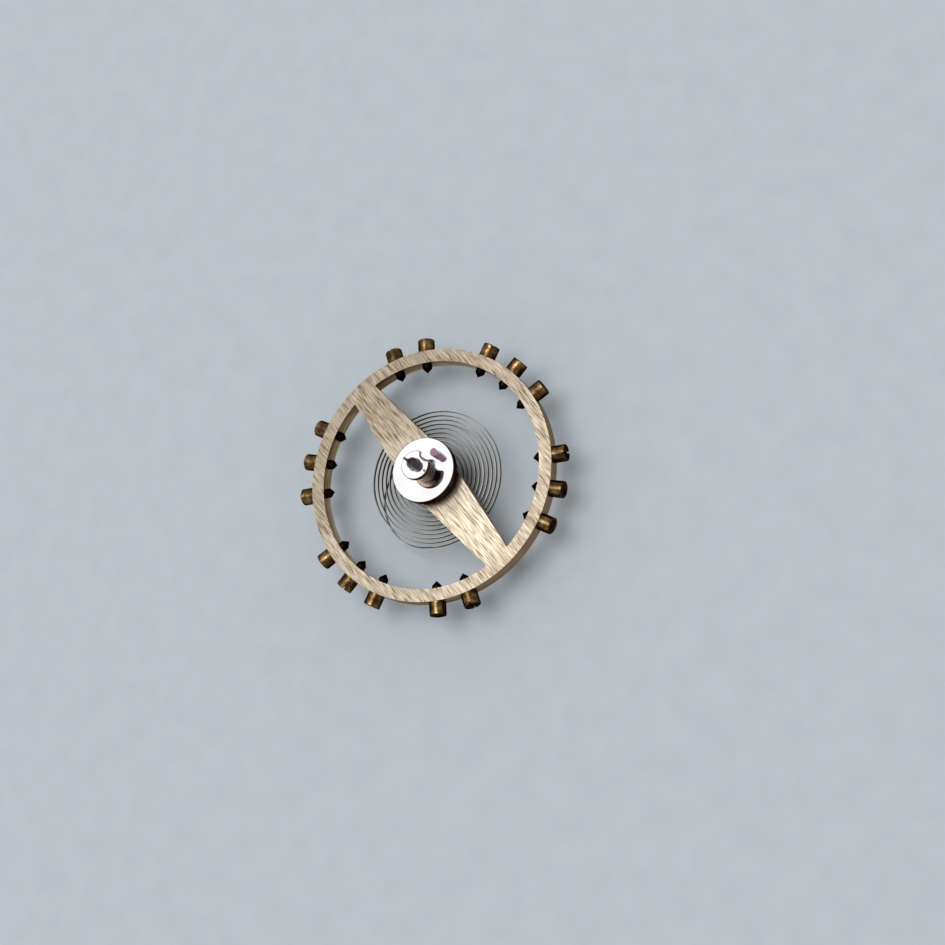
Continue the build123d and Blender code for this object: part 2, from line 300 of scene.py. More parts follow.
    def bump(self, pattern: Socket, strength: float, depth: float) -> None:
        """Raises a pattern as fine relief.

        Args:
            pattern: The relief's height, from 0 to 1.
            strength: How much of the relief shows.
            depth: The relief's depth in metres.
        """
        inputs = {"Height": pattern, "Strength": strength, "Distance": depth}
        self.feed("Normal", self.node("ShaderNodeBump", inputs).outputs["Normal"])


@dataclass(frozen=True)
class Finish:
    """What every finish has: a name, and a material that is drawn once."""

    drawn: ClassVar[dict[str, bpy.types.Material]] = {}
    name: str

    def draw(self, graph: Graph) -> None:
        """Draws the finish's nodes."""
        raise NotImplementedError

    def material(self) -> bpy.types.Material:
        """Draws the finish at its first use.

        Returns:
            The finish's material, the same one each time.
        """
        if self.name not in self.drawn:
            graph = Graph(f"finish_{self.name}")
            self.draw(graph)
            self.drawn[self.name] = graph.material
        return self.drawn[self.name]


@dataclass(frozen=True)
class LinedMetal(Finish):
    """Metal with fine lines from a file, an emery stick or a lathe tool."""

    dark: Colour
    middle: Colour
    light: Colour
    roughness: tuple[float, float]
    fine: Triple
    coarse: Triple
    coarse_share: float = 0.5
    relief: float = 0.2
    relief_depth: float = 4e-6
    attribute: str = ""
    fineness: float = 4.0
    edge_tint: Colour = (1.0, 1.0, 1.0)
    spread: tuple[float, float, float] = (0.34, 0.5, 0.66)

    def colour(self, graph: Graph, lines: Socket) -> Socket:
        """Colours the lines.

        Args:
            graph: The material's nodes.
            lines: The pattern of lines.

        Returns:
            The colour.
        """
        return graph.ramp(lines, list(zip(self.spread, (self.dark, self.middle, self.light))))

    def draw(self, graph: Graph) -> None:
        """Draws lines in colour, roughness and relief.

        Args:
            graph: The material's nodes.
        """
        place = graph.place(self.fine, self.attribute)
        fine = graph.noise(place, detail=self.fineness, rough=0.6)
        coarse = graph.noise(graph.place(self.coarse, self.attribute), detail=3.0)
        lines = graph.mix(fine, coarse, self.coarse_share)
        graph.set("Metallic", 1.0)
        graph.set("Specular Tint", self.edge_tint)
        graph.feed("Base Color", self.colour(graph, lines))
        graph.feed("Roughness", graph.span(lines, self.roughness[1], self.roughness[0]))
        graph.bump(fine, self.relief, self.relief_depth)


@dataclass(frozen=True)
class TarnishedAndShadedMetal(LinedMetal):
    """Lined metal tarnished in random broad patches, and darker towards one end along an even slope, which
    is painted shade.
    """

    # The dark colour below is reached in the random tarnished patches, and along the slope as painted shade.
    tarnish_and_shade: Colour = (0.55, 0.515, 0.50)
    clear: Colour = (1.0, 1.0, 1.0)
    patches: Triple = (260.0, 420.0, 260.0)
    rise: Triple = (60.0, 0.0, 0.0)
    base: float = 0.5
    slope_share: float = 0.72
    tone_spread: tuple[float, float] = (0.3, 0.7)

    def gradient(self, graph: Graph) -> Socket:
        """How far the painted shade darkens the metal, apart from its patches."""
        return graph.slope(self.rise, self.base)

    def colour(self, graph: Graph, lines: Socket) -> Socket:
        """Colours the lines and tones them down in the tarnished patches and in the painted shade.

        Args:
            graph: The material's nodes.
            lines: The pattern of lines.

        Returns:
            The colour.
        """
        patches = graph.noise(graph.place(self.patches), detail=2.0)
        tone = graph.mix(patches, self.gradient(graph), self.slope_share)
        tint = graph.ramp(tone, list(zip(self.tone_spread, (self.clear, self.tarnish_and_shade))))
        return graph.product(super().colour(graph, lines), tint)


@dataclass(frozen=True)
class WheelMetal(TarnishedAndShadedMetal):
    """Metal of a wheel, tarnished in patches, whose painted shade slopes more gently over the rim than over
    the arms.
    """

    rim_rise: Triple = (12.0, 0.0, 0.0)
    rim_base: float = 0.63
    rim_zone: tuple[float, float] = (0.0047, 0.0057)

    def gradient(self, graph: Graph) -> Socket:
        """Finds how far the painted shade darkens the metal, blended from the arms to the rim.

        Args:
            graph: The material's nodes.

        Returns:
            How far the painted shade darkens it, from 0 to 1.
        """
        on_rim = graph.span(graph.radius(), 0.0, 1.0, self.rim_zone)
        rim = graph.slope(self.rim_rise, self.rim_base)
        return graph.mix(super().gradient(graph), rim, on_rim)


@dataclass(frozen=True)
class MirrorSteel(Finish):
    """Black-polished steel, with faint marks of the lap."""

    light: Colour
    dull: Colour
    roughness: tuple[float, float]
    marks: Triple = (900.0, 900.0, 900.0)
    edge_tint: Colour = (1.0, 1.0, 1.0)
    relief: float = 0.03
    relief_depth: float = 2e-6
    spread: tuple[float, float] = (0.35, 0.6)

    def draw(self, graph: Graph) -> None:
        """Draws a mirror with slight clouds and lap marks.

        Args:
            graph: The material's nodes.
        """
        clouds = graph.noise(graph.place(self.marks), detail=5.0)
        graph.set("Metallic", 1.0)
        graph.set("Specular Tint", self.edge_tint)
        colour = graph.ramp(clouds, list(zip(self.spread, (self.dull, self.light))))
        graph.feed("Base Color", colour)
        graph.feed("Roughness", graph.span(clouds, *self.roughness))
        graph.bump(clouds, self.relief, self.relief_depth)


@dataclass(frozen=True)
class ClearStone(Finish):
    """Synthetic ruby or shellac: a clear body with its own colour."""

    deep: Colour
    pale: Colour
    roughness: float
    refraction: float
    clearness: float
    coat: float = 0.0
    clouds: Triple = (2500.0, 2500.0, 2500.0)
    spread: tuple[float, float] = (0.35, 0.65)

    def draw(self, graph: Graph) -> None:
        """Draws a clear body with slight changes in its depth of colour.

        Args:
            graph: The material's nodes.
        """
        depth = graph.noise(graph.place(self.clouds), detail=3.0)
        graph.set("Metallic", 0.0)
        graph.set("Roughness", self.roughness)
        graph.set("IOR", self.refraction)
        graph.set("Transmission Weight", self.clearness)
        graph.set("Coat Weight", self.coat)
        colour = graph.ramp(depth, list(zip(self.spread, (self.deep, self.pale))))
        graph.feed("Base Color", colour)


@dataclass(frozen=True)
class TablePaper(Finish):
    """Matt pale surface of the floor."""

    pale: Colour
    shade: Colour
    grain: Triple = (700.0, 700.0, 700.0)
    spread: tuple[float, float] = (0.3, 0.7)
    roughness: float = 0.9
    gloss: float = 0.1

    def draw(self, graph: Graph) -> None:
        """Draws a matt sheet with a very faint grain.

        Args:
            graph: The material's nodes.
        """
        grain = graph.noise(graph.place(self.grain), detail=4.0)
        graph.set("Roughness", self.roughness)
        graph.set("Specular IOR Level", self.gloss)
        colour = graph.ramp(grain, list(zip(self.spread, (self.shade, self.pale))))
        graph.feed("Base Color", colour)


# Face brass: darker towards +X along an even slope, gentler on the rim, as painted shade for how the light
# falls over the wheel. The random patches are tarnish.
GRAINED_BRASS = WheelMetal(
    "grained_brass",
    dark=(0.15, 0.115, 0.075),
    middle=(0.45, 0.380, 0.278),
    light=(0.76, 0.70, 0.55),
    roughness=(0.28, 0.42),
    fine=(1600.0, 25000.0, 1600.0),
    coarse=(900.0, 11000.0, 900.0),
    coarse_share=0.18,
    relief=0.5,
    fineness=3.0,
    spread=(0.37, 0.48, 0.65),
)
# A paler copy of the brass for the upper bevels: partly a burnished chamfer, partly a painted highlight.
EDGE_BRASS_AND_HIGHLIGHT = LinedMetal(
    "edge_brass_and_highlight",
    dark=(0.34, 0.28, 0.19),
    middle=(0.62, 0.55, 0.40),
    light=(0.86, 0.80, 0.64),
    roughness=(0.24, 0.36),
    fine=(2500.0, 2500.0, 2500.0),
    coarse=(700.0, 700.0, 700.0),
)
# A copy of the brass in its own colour for the wheel's inner walls, darker towards the top of the wall along
# an even slope: painted shade. The random patches are tarnish.
INNER_WALL_SHADED_BRASS = TarnishedAndShadedMetal(
    "inner_wall_shaded_brass",
    dark=(0.22, 0.14, 0.06),
    middle=(0.58, 0.41, 0.20),
    light=(0.82, 0.65, 0.37),
    roughness=(0.30, 0.44),
    fine=(900.0, 900.0, 11000.0),
    coarse=(900.0, 900.0, 4000.0),
    coarse_share=0.35,
    tarnish_and_shade=(0.42, 0.33, 0.26),
    rise=(0.0, 0.0, 900.0),
    base=-1.15,
)
# A darker, browner copy of the brass, with a dark edge tint, for the rim's outer wall: painted shade.
OUTER_WALL_SHADED_BRASS = LinedMetal(
    "outer_wall_shaded_brass",
    dark=(0.18, 0.122, 0.078),
    middle=(0.385, 0.266, 0.172),
    light=(0.56, 0.42, 0.29),
    roughness=(0.30, 0.44),
    fine=(600.0, 600.0, 13000.0),
    coarse=(900.0, 900.0, 5000.0),
    coarse_share=0.3,
    edge_tint=(0.6, 0.5, 0.4),
)
# Screw heads: golden towards the top and darker towards the lower half along an even slope in Z, with a dark
# edge tint that dims grazing reflections: painted highlight and painted shade. The random patches are
# tarnish.
HEAD_BRONZE = TarnishedAndShadedMetal(
    "head_bronze",
    dark=(0.045, 0.024, 0.010),
    middle=(0.160, 0.094, 0.038),
    light=(0.48, 0.310, 0.140),
    roughness=(0.18, 0.28),
    fine=(4200.0, 4200.0, 4200.0),
    coarse=(1900.0, 1900.0, 1900.0),
    attribute=LATHE_COORDINATES,
    edge_tint=(0.16, 0.10, 0.055),
    spread=(0.37, 0.5, 0.64),
    tarnish_and_shade=(0.15, 0.11, 0.08),
    patches=(1800.0, 1800.0, 1800.0),
    rise=(0.0, 0.0, -1000.0),
    base=2.58,
    slope_share=0.75,
)
# A darker copy of the head's bronze, with a dark edge tint, for the heads' end faces: painted shade.
END_SHADED_BRONZE = LinedMetal(
    "end_shaded_bronze",
    dark=(0.014, 0.009, 0.006),
    middle=(0.080, 0.051, 0.031),
    light=(0.17, 0.12, 0.080),
    roughness=(0.30, 0.44),
    fine=(4200.0, 4200.0, 4200.0),
    coarse=(1900.0, 1900.0, 1900.0),
    attribute=LATHE_COORDINATES,
    edge_tint=(0.20, 0.15, 0.11),
)
# A near-black copy of the bronze for the shanks and tips inside the rim: painted shade.
THREAD_SHADED_BRONZE = LinedMetal(
    "thread_shaded_bronze",
    dark=(0.002, 0.001, 0.001),
    middle=(0.008, 0.004, 0.003),
    light=(0.030, 0.017, 0.009),
    roughness=(0.30, 0.45),
    fine=(2000.0, 2000.0, 9000.0),
    coarse=(1900.0, 1900.0, 1900.0),
    attribute=LATHE_COORDINATES,
    edge_tint=(0.16, 0.10, 0.07),
)
# Staff steel: lighter on its +Y side and darker towards -Y along an even slope, a painted highlight and
# painted shade standing in for reflections. The random patches are tarnish.
STAFF_STEEL = TarnishedAndShadedMetal(
    "staff_steel",
    dark=(0.34, 0.31, 0.30),
    middle=(0.56, 0.53, 0.52),
    light=(0.78, 0.77, 0.76),
    roughness=(0.10, 0.18),
    fine=(700.0, 700.0, 14000.0),
    coarse=(1200.0, 1200.0, 3000.0),
    relief=0.1,
    tarnish_and_shade=(0.175, 0.130, 0.135),
    patches=(1500.0, 1500.0, 1500.0),
    rise=(0.0, -2200.0, 0.0),
    base=0.80,
    slope_share=0.85,
)
STUD_STEEL = LinedMetal(
    "stud_steel",
    dark=(0.45, 0.45, 0.46),
    middle=(0.62, 0.62, 0.64),
    light=(0.76, 0.77, 0.79),
    roughness=(0.14, 0.28),
    fine=(900.0, 900.0, 11000.0),
    coarse=(1400.0, 1400.0, 2500.0),
    relief=0.15,
)
# The ribbon's flat faces take this finish; its sides take the darker copy below, as painted shade.
SPRING_EDGE = LinedMetal(
    "spring_edge",
    dark=(0.14, 0.130, 0.112),
    middle=(0.27, 0.255, 0.225),
    light=(0.44, 0.42, 0.38),
    roughness=(0.28, 0.42),
    fine=(250.0, 9000.0, 9000.0),
    coarse=(900.0, 1500.0, 1500.0),
    relief=0.1,
    relief_depth=1e-6,
    attribute=RUN_COORDINATES,
)
# A darker copy of the spring steel for the ribbon's upright sides: painted shade.
SPRING_SHADED_SIDE = LinedMetal(
    "spring_shaded_side",
    dark=(0.05, 0.044, 0.036),
    middle=(0.12, 0.107, 0.088),
    light=(0.22, 0.20, 0.17),
    roughness=(0.22, 0.34),
    fine=(250.0, 9000.0, 9000.0),
    coarse=(500.0, 1500.0, 1500.0),
    relief=0.1,
    relief_depth=1e-6,
    attribute=RUN_COORDINATES,
    edge_tint=(0.4, 0.38, 0.35),
)
TURNED_BRASS = LinedMetal(
    "turned_brass",
    dark=(0.32, 0.24, 0.12),
    middle=(0.56, 0.45, 0.25),
    light=(0.74, 0.63, 0.40),
    roughness=(0.22, 0.38),
    fine=(700.0, 700.0, 11000.0),
    coarse=(900.0, 900.0, 2500.0),
)
ROLLER_STEEL = MirrorSteel(
    "roller_steel",
    light=(0.93, 0.93, 0.92),
    dull=(0.85, 0.85, 0.85),
    roughness=(0.04, 0.10),
)
# A near-black copy of the roller steel, with a dark edge tint, for the rollers' walls, bores and lower
# faces: painted shade.
ROLLER_SHADED_EDGE = MirrorSteel(
    "roller_shaded_edge",
    light=(0.125, 0.085, 0.073),
    dull=(0.055, 0.035, 0.031),
    roughness=(0.16, 0.28),
    edge_tint=(0.32, 0.26, 0.24),
)
# Brown steel for the pipe and the safety roller's underside, darker towards -Y along an even slope: a
# painted reflection of the brass and painted shade. The random patches are tarnish.
PIPE_STEEL_PAINTED_REFLECTION = TarnishedAndShadedMetal(
    "pipe_steel_painted_reflection",
    dark=(0.36, 0.25, 0.19),
    middle=(0.58, 0.42, 0.32),
    light=(0.76, 0.60, 0.48),
    roughness=(0.14, 0.26),
    fine=(1500.0, 1500.0, 6000.0),
    coarse=(1500.0, 1500.0, 1500.0),
    tarnish_and_shade=(0.10, 0.085, 0.095),
    patches=(1500.0, 1500.0, 1500.0),
    rise=(0.0, -900.0, 0.0),
    base=0.62,
    slope_share=0.85,
)
CRESCENT_STEEL = MirrorSteel(
    "crescent_steel",
    light=(0.70, 0.71, 0.70),
    dull=(0.58, 0.59, 0.58),
    roughness=(0.10, 0.18),
)
RUBY = ClearStone(
    "ruby",
    deep=(0.32, 0.080, 0.20),
    pale=(0.60, 0.26, 0.43),
    roughness=0.05,
    refraction=1.77,
    clearness=0.30,
)
# A dark copy of the ruby for the jewel's chamfers: a painted dark outline, standing in for the shade at the
# stone's edges.
RUBY_SHADED_EDGE = ClearStone(
    "ruby_shaded_edge",
    deep=(0.07, 0.022, 0.05),
    pale=(0.14, 0.05, 0.10),
    roughness=0.20,
    refraction=1.77,
    clearness=0.1,
)
AMBER_SHELLAC = ClearStone(
    "amber_shellac",
    deep=(0.30, 0.11, 0.02),
    pale=(0.55, 0.26, 0.06),
    roughness=0.18,
    refraction=1.52,
    clearness=0.4,
    coat=0.5,
)
FLOOR_PAPER = TablePaper(
    "floor_paper",
    pale=(0.545, 0.590, 0.628),
    shade=(0.515, 0.562, 0.600),
)


def keep_flats(piece: bpy.types.Object) -> None:
    """Shades flat faces flat up to their rounded edges.

    Args:
        piece: A piece in millimetres, because in metres its faces are too small to be weighed.
    """
    piece.modifiers.new("weighted", "WEIGHTED_NORMAL").keep_sharp = True
    depsgraph = bpy.context.evaluated_depsgraph_get()
    plain, source = piece.data, piece.evaluated_get(depsgraph)
    shaded = bpy.data.meshes.new_from_object(
        source, preserve_all_data_layers=True, depsgraph=depsgraph
    )
    piece.modifiers.clear()
    piece.data = shaded
    bpy.data.meshes.remove(plain)


class Workpiece:
    """A piece in the making: a mesh in millimetres that is turned, cut and filed."""

    def __init__(self) -> None:
        """Starts with an empty mesh."""
        self.mesh = bmesh.new()

    def chain(self, places: Sequence[Vector], closed: bool = False) -> list[bmesh.types.BMVert]:
        """Joins places by edges.

        Args:
            places: The places in order.
            closed: Whether the last place is joined to the first.

        Returns:
            The new vertices in order.
        """
        verts = [self.mesh.verts.new(place) for place in places]
        for first, second in zip(verts, verts[1:] + (verts[:1] if closed else [])):
            self.mesh.edges.new((first, second))
        return verts

    def turn(
        self, corners: Sequence[Corner], closed: bool = False, steps: int = 96
    ) -> "Workpiece":
        """Turns a profile through a full circle about Z.

        Args:
            corners: The profile from below upwards on its outer side.
            closed: Whether the profile closes on itself, as on a ring.
            steps: Facets round the circle.

        Returns:
            This workpiece.
        """
        verts = self.chain([Vector((c.radius, 0.0, c.height)) for c in corners], closed)
        for vert, corner in zip(verts, corners):
            if corner.rounding:
                self.bevel([vert], corner.rounding, ROUND_SEGMENTS, "VERTICES")
        self.spin(self.mesh.verts[:] + self.mesh.edges[:], ORIGIN, FULL_TURN, steps, merge=True)
        return self.clean()

    def spin(
        self,
        items: Geometry,
        centre: Vector,
        angle: float,
        steps: int = 1,
        move: Vector = ORIGIN,
        merge: bool = False,
    ) -> Geometry:
        """Draws geometry along round an upright axis.

        Args:
            items: The geometry that is drawn along.
            centre: Where the axis stands.
            angle: How far it goes round, anticlockwise if positive.
            steps: Steps on the way.
            move: How far each step also goes straight on.
            merge: Whether the last step meets the first, as after a full turn.

        Returns:
            The geometry at the end of the way.
        """
        made = bmesh.ops.spin(
            self.mesh,
            geom=items,
            cent=centre,
            axis=UP,
            dvec=move,
            angle=math.radians(angle),
            steps=steps,
            use_merge=merge,
            use_duplicate=False,
        )
        return made["geom_last"]

    def clean(self) -> "Workpiece":
        """Merges doubles and points the faces outwards.

        Returns:
            This workpiece.
        """
        bmesh.ops.remove_doubles(self.mesh, verts=self.mesh.verts, dist=MERGE_DISTANCE)
        bmesh.ops.recalc_face_normals(self.mesh, faces=self.mesh.faces)
        return self

    def move(self, matrix: Matrix) -> "Workpiece":
        """Moves the whole workpiece by a matrix and returns it."""
        bmesh.ops.transform(self.mesh, matrix=matrix, verts=self.mesh.verts)
        return self

    def shift(self, x: float, y: float, z: float) -> "Workpiece":
        """Moves the whole workpiece along the axes and returns it."""
        return self.move(Matrix.Translation((x, y, z)))

    def rod(self, radius: float, far_radius: float, length: float, steps: int = 64) -> "Workpiece":
        """Adds a round rod along Z, centred on the origin.

        Args:
            radius: Radius at the lower end.
            far_radius: Radius at the upper end.
            length: Length along Z.
            steps: Facets round the rod.

        Returns:
            This workpiece.
        """
        bmesh.ops.create_cone(
            self.mesh,
            cap_ends=True,
            segments=steps,
            radius1=radius,
            radius2=far_radius,
            depth=length,
        )
        return self

    def block(self, x: float, y: float, z: float) -> "Workpiece":
        """Adds a block, centred on the origin.

        Args:
            x: Size along X.
            y: Size along Y.
            z: Size along Z.

        Returns:
            This workpiece.
        """
        made = bmesh.ops.create_cube(self.mesh, size=1.0)
        bmesh.ops.scale(self.mesh, vec=(x, y, z), verts=made["verts"])
        return self

    def everything(self) -> Geometry:
        """All of the mesh: its vertices, edges and faces."""
        return self.mesh.verts[:] + self.mesh.edges[:] + self.mesh.faces[:]

    def file_flat(self, place: Vector, outwards: Vector) -> "Workpiece":
        """Files away all that lies beyond a plane and closes the cut.

        Args:
            place: A place on the plane.
            outwards: The plane's direction, towards what is filed away.

        Returns:
            This workpiece.
        """
        made = bmesh.ops.bisect_plane(
            self.mesh,
            geom=self.everything(),
            plane_co=place,
            plane_no=outwards,
            clear_outer=True,
        )
        edges = [item for item in made["geom_cut"] if isinstance(item, bmesh.types.BMEdge)]
        bmesh.ops.contextual_create(self.mesh, geom=edges)
        return self.clean()

    def break_edges(self, width: float) -> "Workpiece":
        """Breaks every sharp edge.

        Args:
            width: How far the edge is taken back.

        Returns:
            This workpiece.
        """
        limit = math.radians(SHARP_ANGLE)
        sharp = [edge for edge in self.mesh.edges if edge.calc_face_angle(0.0) > limit]
        return self.bevel(sharp, width, EDGE_SEGMENTS)

    def bevel(
        self, items: Geometry, width: float, segments: int, affect: str = "EDGES"
    ) -> "Workpiece":
        """Rounds chosen edges or corners.

        Args:
            items: The edges to round, or the vertices of a flat outline.
            width: How far each one is taken back.
            segments: Facets across each rounding.
            affect: EDGES, or VERTICES for an outline's corners.

        Returns:
            This workpiece.
        """
        bmesh.ops.bevel(
            self.mesh,
            geom=items,
            offset=width,
            offset_type="OFFSET",
            segments=segments,
            profile=0.5,
            affect=affect,
            clamp_overlap=True,
            material=-1,
        )
        return self

    def add(self, other: "Workpiece") -> "Workpiece":
        """Takes another workpiece's mesh into this one.

        Args:
            other: The other workpiece. It is used up.

        Returns:
            This workpiece.
        """
        carrier = bpy.data.meshes.new("carrier")
        other.mesh.to_mesh(carrier)
        self.mesh.from_mesh(carrier)
        other.mesh.free()
        bpy.data.meshes.remove(carrier)
        return self

    def as_object(self, name: str) -> bpy.types.Object:
        """Makes a scene object of the mesh, in the mesh's own unit, and frees the mesh.

        Args:
            name: The object's name.

        Returns:
            The object.
        """
        data = bpy.data.meshes.new(name)
        self.mesh.to_mesh(data)
        self.mesh.free()
        made = bpy.data.objects.new(name, data)
        bpy.context.scene.collection.objects.link(made)
        return made

    def cut(self, tool: "Workpiece") -> "Workpiece":
        """Cuts another workpiece's shape out of this one.

        Args:
            tool: What is cut out. It is used up.

        Returns:
            This workpiece.
        """
        blank, cutter = self.as_object("blank"), tool.as_object("cutter")
        modifier = blank.modifiers.new("cut", "BOOLEAN")
        modifier.operation, modifier.solver, modifier.object = "DIFFERENCE", "EXACT", cutter
        depsgraph = bpy.context.evaluated_depsgraph_get()
        result = bpy.data.meshes.new_from_object(blank.evaluated_get(depsgraph))
        self.mesh = bmesh.new()
        self.mesh.from_mesh(result)
        leftovers = [result, blank.data, cutter.data]
        bpy.data.objects.remove(blank)
        bpy.data.objects.remove(cutter)
        for data in leftovers:
            bpy.data.meshes.remove(data)
        return self.clean()

    def copy(self) -> "Workpiece":
        """Makes a second workpiece with the same mesh.

        Returns:
            The second workpiece.
        """
        twin = Workpiece()
        twin.mesh.free()
        twin.mesh = self.mesh.copy()
        return twin

    def mark_lathe(self) -> "Workpiece":
        """Keeps each point's place on the lathe, in metres, for the tool marks.

        Returns:
            This workpiece.
        """
        layer = self.mesh.verts.layers.float_vector.new(LATHE_COORDINATES)
        for vert in self.mesh.verts:
            vert[layer] = vert.co * MM
        return self

    def finish(
        self, name: str, node: str, slot: Slot, finishes: Sequence[Finish]
    ) -> bpy.types.Object:
        """Makes the finished piece, which stands for a CAD node but rides on nothing yet.

        Args:
            name: The piece's name.
            node: The CAD node that it stands for.
            slot: The record's slot that its finish comes from. Not used.
            finishes: The finishes, by the faces' material index.

        Returns:
            The piece.
        """
        piece = self.as_object(name)
        piece.data.shade_smooth()
        piece.data.set_sharp_from_angle(angle=math.radians(SHARP_ANGLE))
        keep_flats(piece)
        piece.data.transform(Matrix.Scale(MM, 4))
        for finish in finishes:
            piece.data.materials.append(finish.material())
        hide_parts(node)
        log.info("%s stands for %s with %d faces", name, node, len(piece.data.polygons))
        return piece


class EdgeKind(Enum):
    """What a line of the wheel's plan belongs to."""

    OUTER = 1
    WINDOW_ON_RIM = 2
    ROOT = 3
    ARM = 4
    HUB = 5


@dataclass
class BalanceWheel:
    """Rim and two arms in one piece."""

    outer_radius: float = 6.15
    inner_radius: float = 5.55
    face: float = 2.28
    rim_height: float = 0.76
    arm_thickness: float = 0.40
    half_width_at_axis: float = 1.22
    half_width_at_rim: float = 0.65
    waist_radius: float = 6.0
    corner_radius: float = 0.05
    hub_hole_radius: float = 0.555
    edge: float = 0.03
    hole_radius: float = 0.24
    hole_length: float = 1.40
    rim_steps: int = 120
    window_steps: int = 108
    root_steps: int = 16
    corner_steps: int = 12
    waist_steps: int = 8
    hub_steps: int = 24

    def arc(
        self,
        work: Workpiece,
        last: bmesh.types.BMVert,
        centre: Vector,
        angle: float,
        steps: int,
        kind: EdgeKind,
    ) -> bmesh.types.BMVert:
        """Draws an arc of the plan onwards from a vertex.

        Args:
            work: The workpiece drawn on.
            last: Where the arc starts.
            centre: The arc's centre.
            angle: How far it goes round, anticlockwise if positive.
            steps: Pieces of the arc.
            kind: What the line belongs to.

        Returns:
            The vertex at the arc's end.
        """
        before = set(work.mesh.edges)
        at_end = work.spin([last], centre, angle, steps)
        layer = work.mesh.edges.layers.int[KIND_LAYER]
        for edge in set(work.mesh.edges) - before:
            edge[layer] = kind.value
        return next(item for item in at_end if isinstance(item, bmesh.types.BMVert))

    def draw_quarter(self, work: Workpiece) -> None:
        """Draws a quarter of the plan: the rim, half a window and the hub's hole.

        Args:
            work: The workpiece drawn on.
        """
        layer = work.mesh.edges.layers.int.new(KIND_LAYER)
        taper = self.half_width_at_axis - self.half_width_at_rim
        slope = math.degrees(math.atan2(taper, self.inner_radius))
        normal, along = plan(QUARTER_TURN - slope), plan(-slope)
        lift = self.half_width_at_axis * math.cos(math.radians(slope)) + self.corner_radius
        reach = self.inner_radius - self.corner_radius
        corner = normal * lift + along * math.sqrt(reach**2 - lift**2)
        corner_angle = math.degrees(math.atan2(corner.y, corner.x))
        waist_depth = self.waist_radius / math.cos(math.radians(slope))
        waist = Vector((0.0, self.half_width_at_axis - waist_depth, 0.0))

        start = work.mesh.verts.new(plan(QUARTER_TURN, self.outer_radius))
        self.arc(work, start, ORIGIN, -QUARTER_TURN, self.rim_steps, EdgeKind.OUTER)
        start = work.mesh.verts.new(plan(QUARTER_TURN, self.hub_hole_radius))
        self.arc(work, start, ORIGIN, -QUARTER_TURN, self.hub_steps, EdgeKind.HUB)
        start = work.mesh.verts.new(plan(QUARTER_TURN, self.inner_radius))
        turn = corner_angle - QUARTER_TURN
        on_rim = self.arc(work, start, ORIGIN, turn, self.window_steps, EdgeKind.WINDOW_ON_RIM)
        self.arc(work, on_rim, ORIGIN, -corner_angle, self.root_steps, EdgeKind.ROOT)
        turn = -QUARTER_TURN - slope - corner_angle
        on_arm = self.arc(work, on_rim, corner, turn, self.corner_steps, EdgeKind.ARM)
        at_waist = work.mesh.verts.new(waist + normal * self.waist_radius)
        work.mesh.edges.new((on_arm, at_waist))[layer] = EdgeKind.ARM.value
        self.arc(work, at_waist, waist, slope, self.waist_steps, EdgeKind.ARM)
        work.shift(0.0, 0.0, self.face)

    def shape(self, screw_angles: Sequence[float], screw_height: float) -> Workpiece:
        """Makes the wheel's shape.

        Args:
            screw_angles: Where the screws' holes go through the rim.
            screw_height: Height of the holes' axes.

        Returns:
            The wheel, not yet finished.
        """
        work = Workpiece()
        self.draw_quarter(work)
        for axis in ("X", "Y"):
            bmesh.ops.mirror(
                work.mesh,
                geom=work.mesh.verts[:] + work.mesh.edges[:],
                matrix=Matrix.Identity(4),
                merge_dist=MERGE_DISTANCE,
                axis=axis,
            )
        layer = work.mesh.edges.layers.int[KIND_LAYER]
        rim_lines = (EdgeKind.OUTER, EdgeKind.WINDOW_ON_RIM, EdgeKind.ROOT)
        arm_lines = (EdgeKind.ARM, EdgeKind.ROOT, EdgeKind.HUB)
        kinds = {edge: EdgeKind(edge[layer]) for edge in work.mesh.edges}
        for lines in (rim_lines, arm_lines):
            chosen = [edge for edge, kind in kinds.items() if kind in lines]
            bmesh.ops.triangle_fill(work.mesh, use_beauty=True, edges=chosen, normal=UP)
        self.lower(work, work.mesh.faces[:], self.arm_thickness)
        below = self.face - self.arm_thickness
        under_rim = [
            face
            for face in work.mesh.faces
            if abs(face.calc_center_median().z - below) < MERGE_DISTANCE
            and all(vert.co.xy.length > self.inner_radius - MERGE_DISTANCE for vert in face.verts)
            and any(vert.co.xy.length > self.outer_radius - MERGE_DISTANCE for vert in face.verts)
        ]
        self.lower(work, under_rim, self.rim_height - self.arm_thickness)
        work.clean()
        work.bevel(self.edges_to_break(work), self.edge, EDGE_SEGMENTS)
        mid_rim = (self.outer_radius + self.inner_radius) / 2
        holes = Workpiece()
        for angle in screw_angles:
            drill = Workpiece().rod(
                self.hole_radius, self.hole_radius, self.hole_length, DRILL_STEPS
            )
            drill.move(turned_by(QUARTER_TURN, "Y")).shift(mid_rim, 0.0, screw_height)
            holes.add(drill.move(turned_by(angle)))
        return work.cut(holes.clean())

    def lower(self, work: Workpiece, faces: list[bmesh.types.BMFace], depth: float) -> None:
        """Thickens faces downwards.

        Args:
            work: The workpiece.
            faces: The faces that go down.
            depth: How far they go.
        """
        made = bmesh.ops.extrude_face_region(work.mesh, geom=faces)
        verts = [item for item in made["geom"] if isinstance(item, bmesh.types.BMVert)]
        bmesh.ops.translate(work.mesh, vec=(0.0, 0.0, -depth), verts=verts)

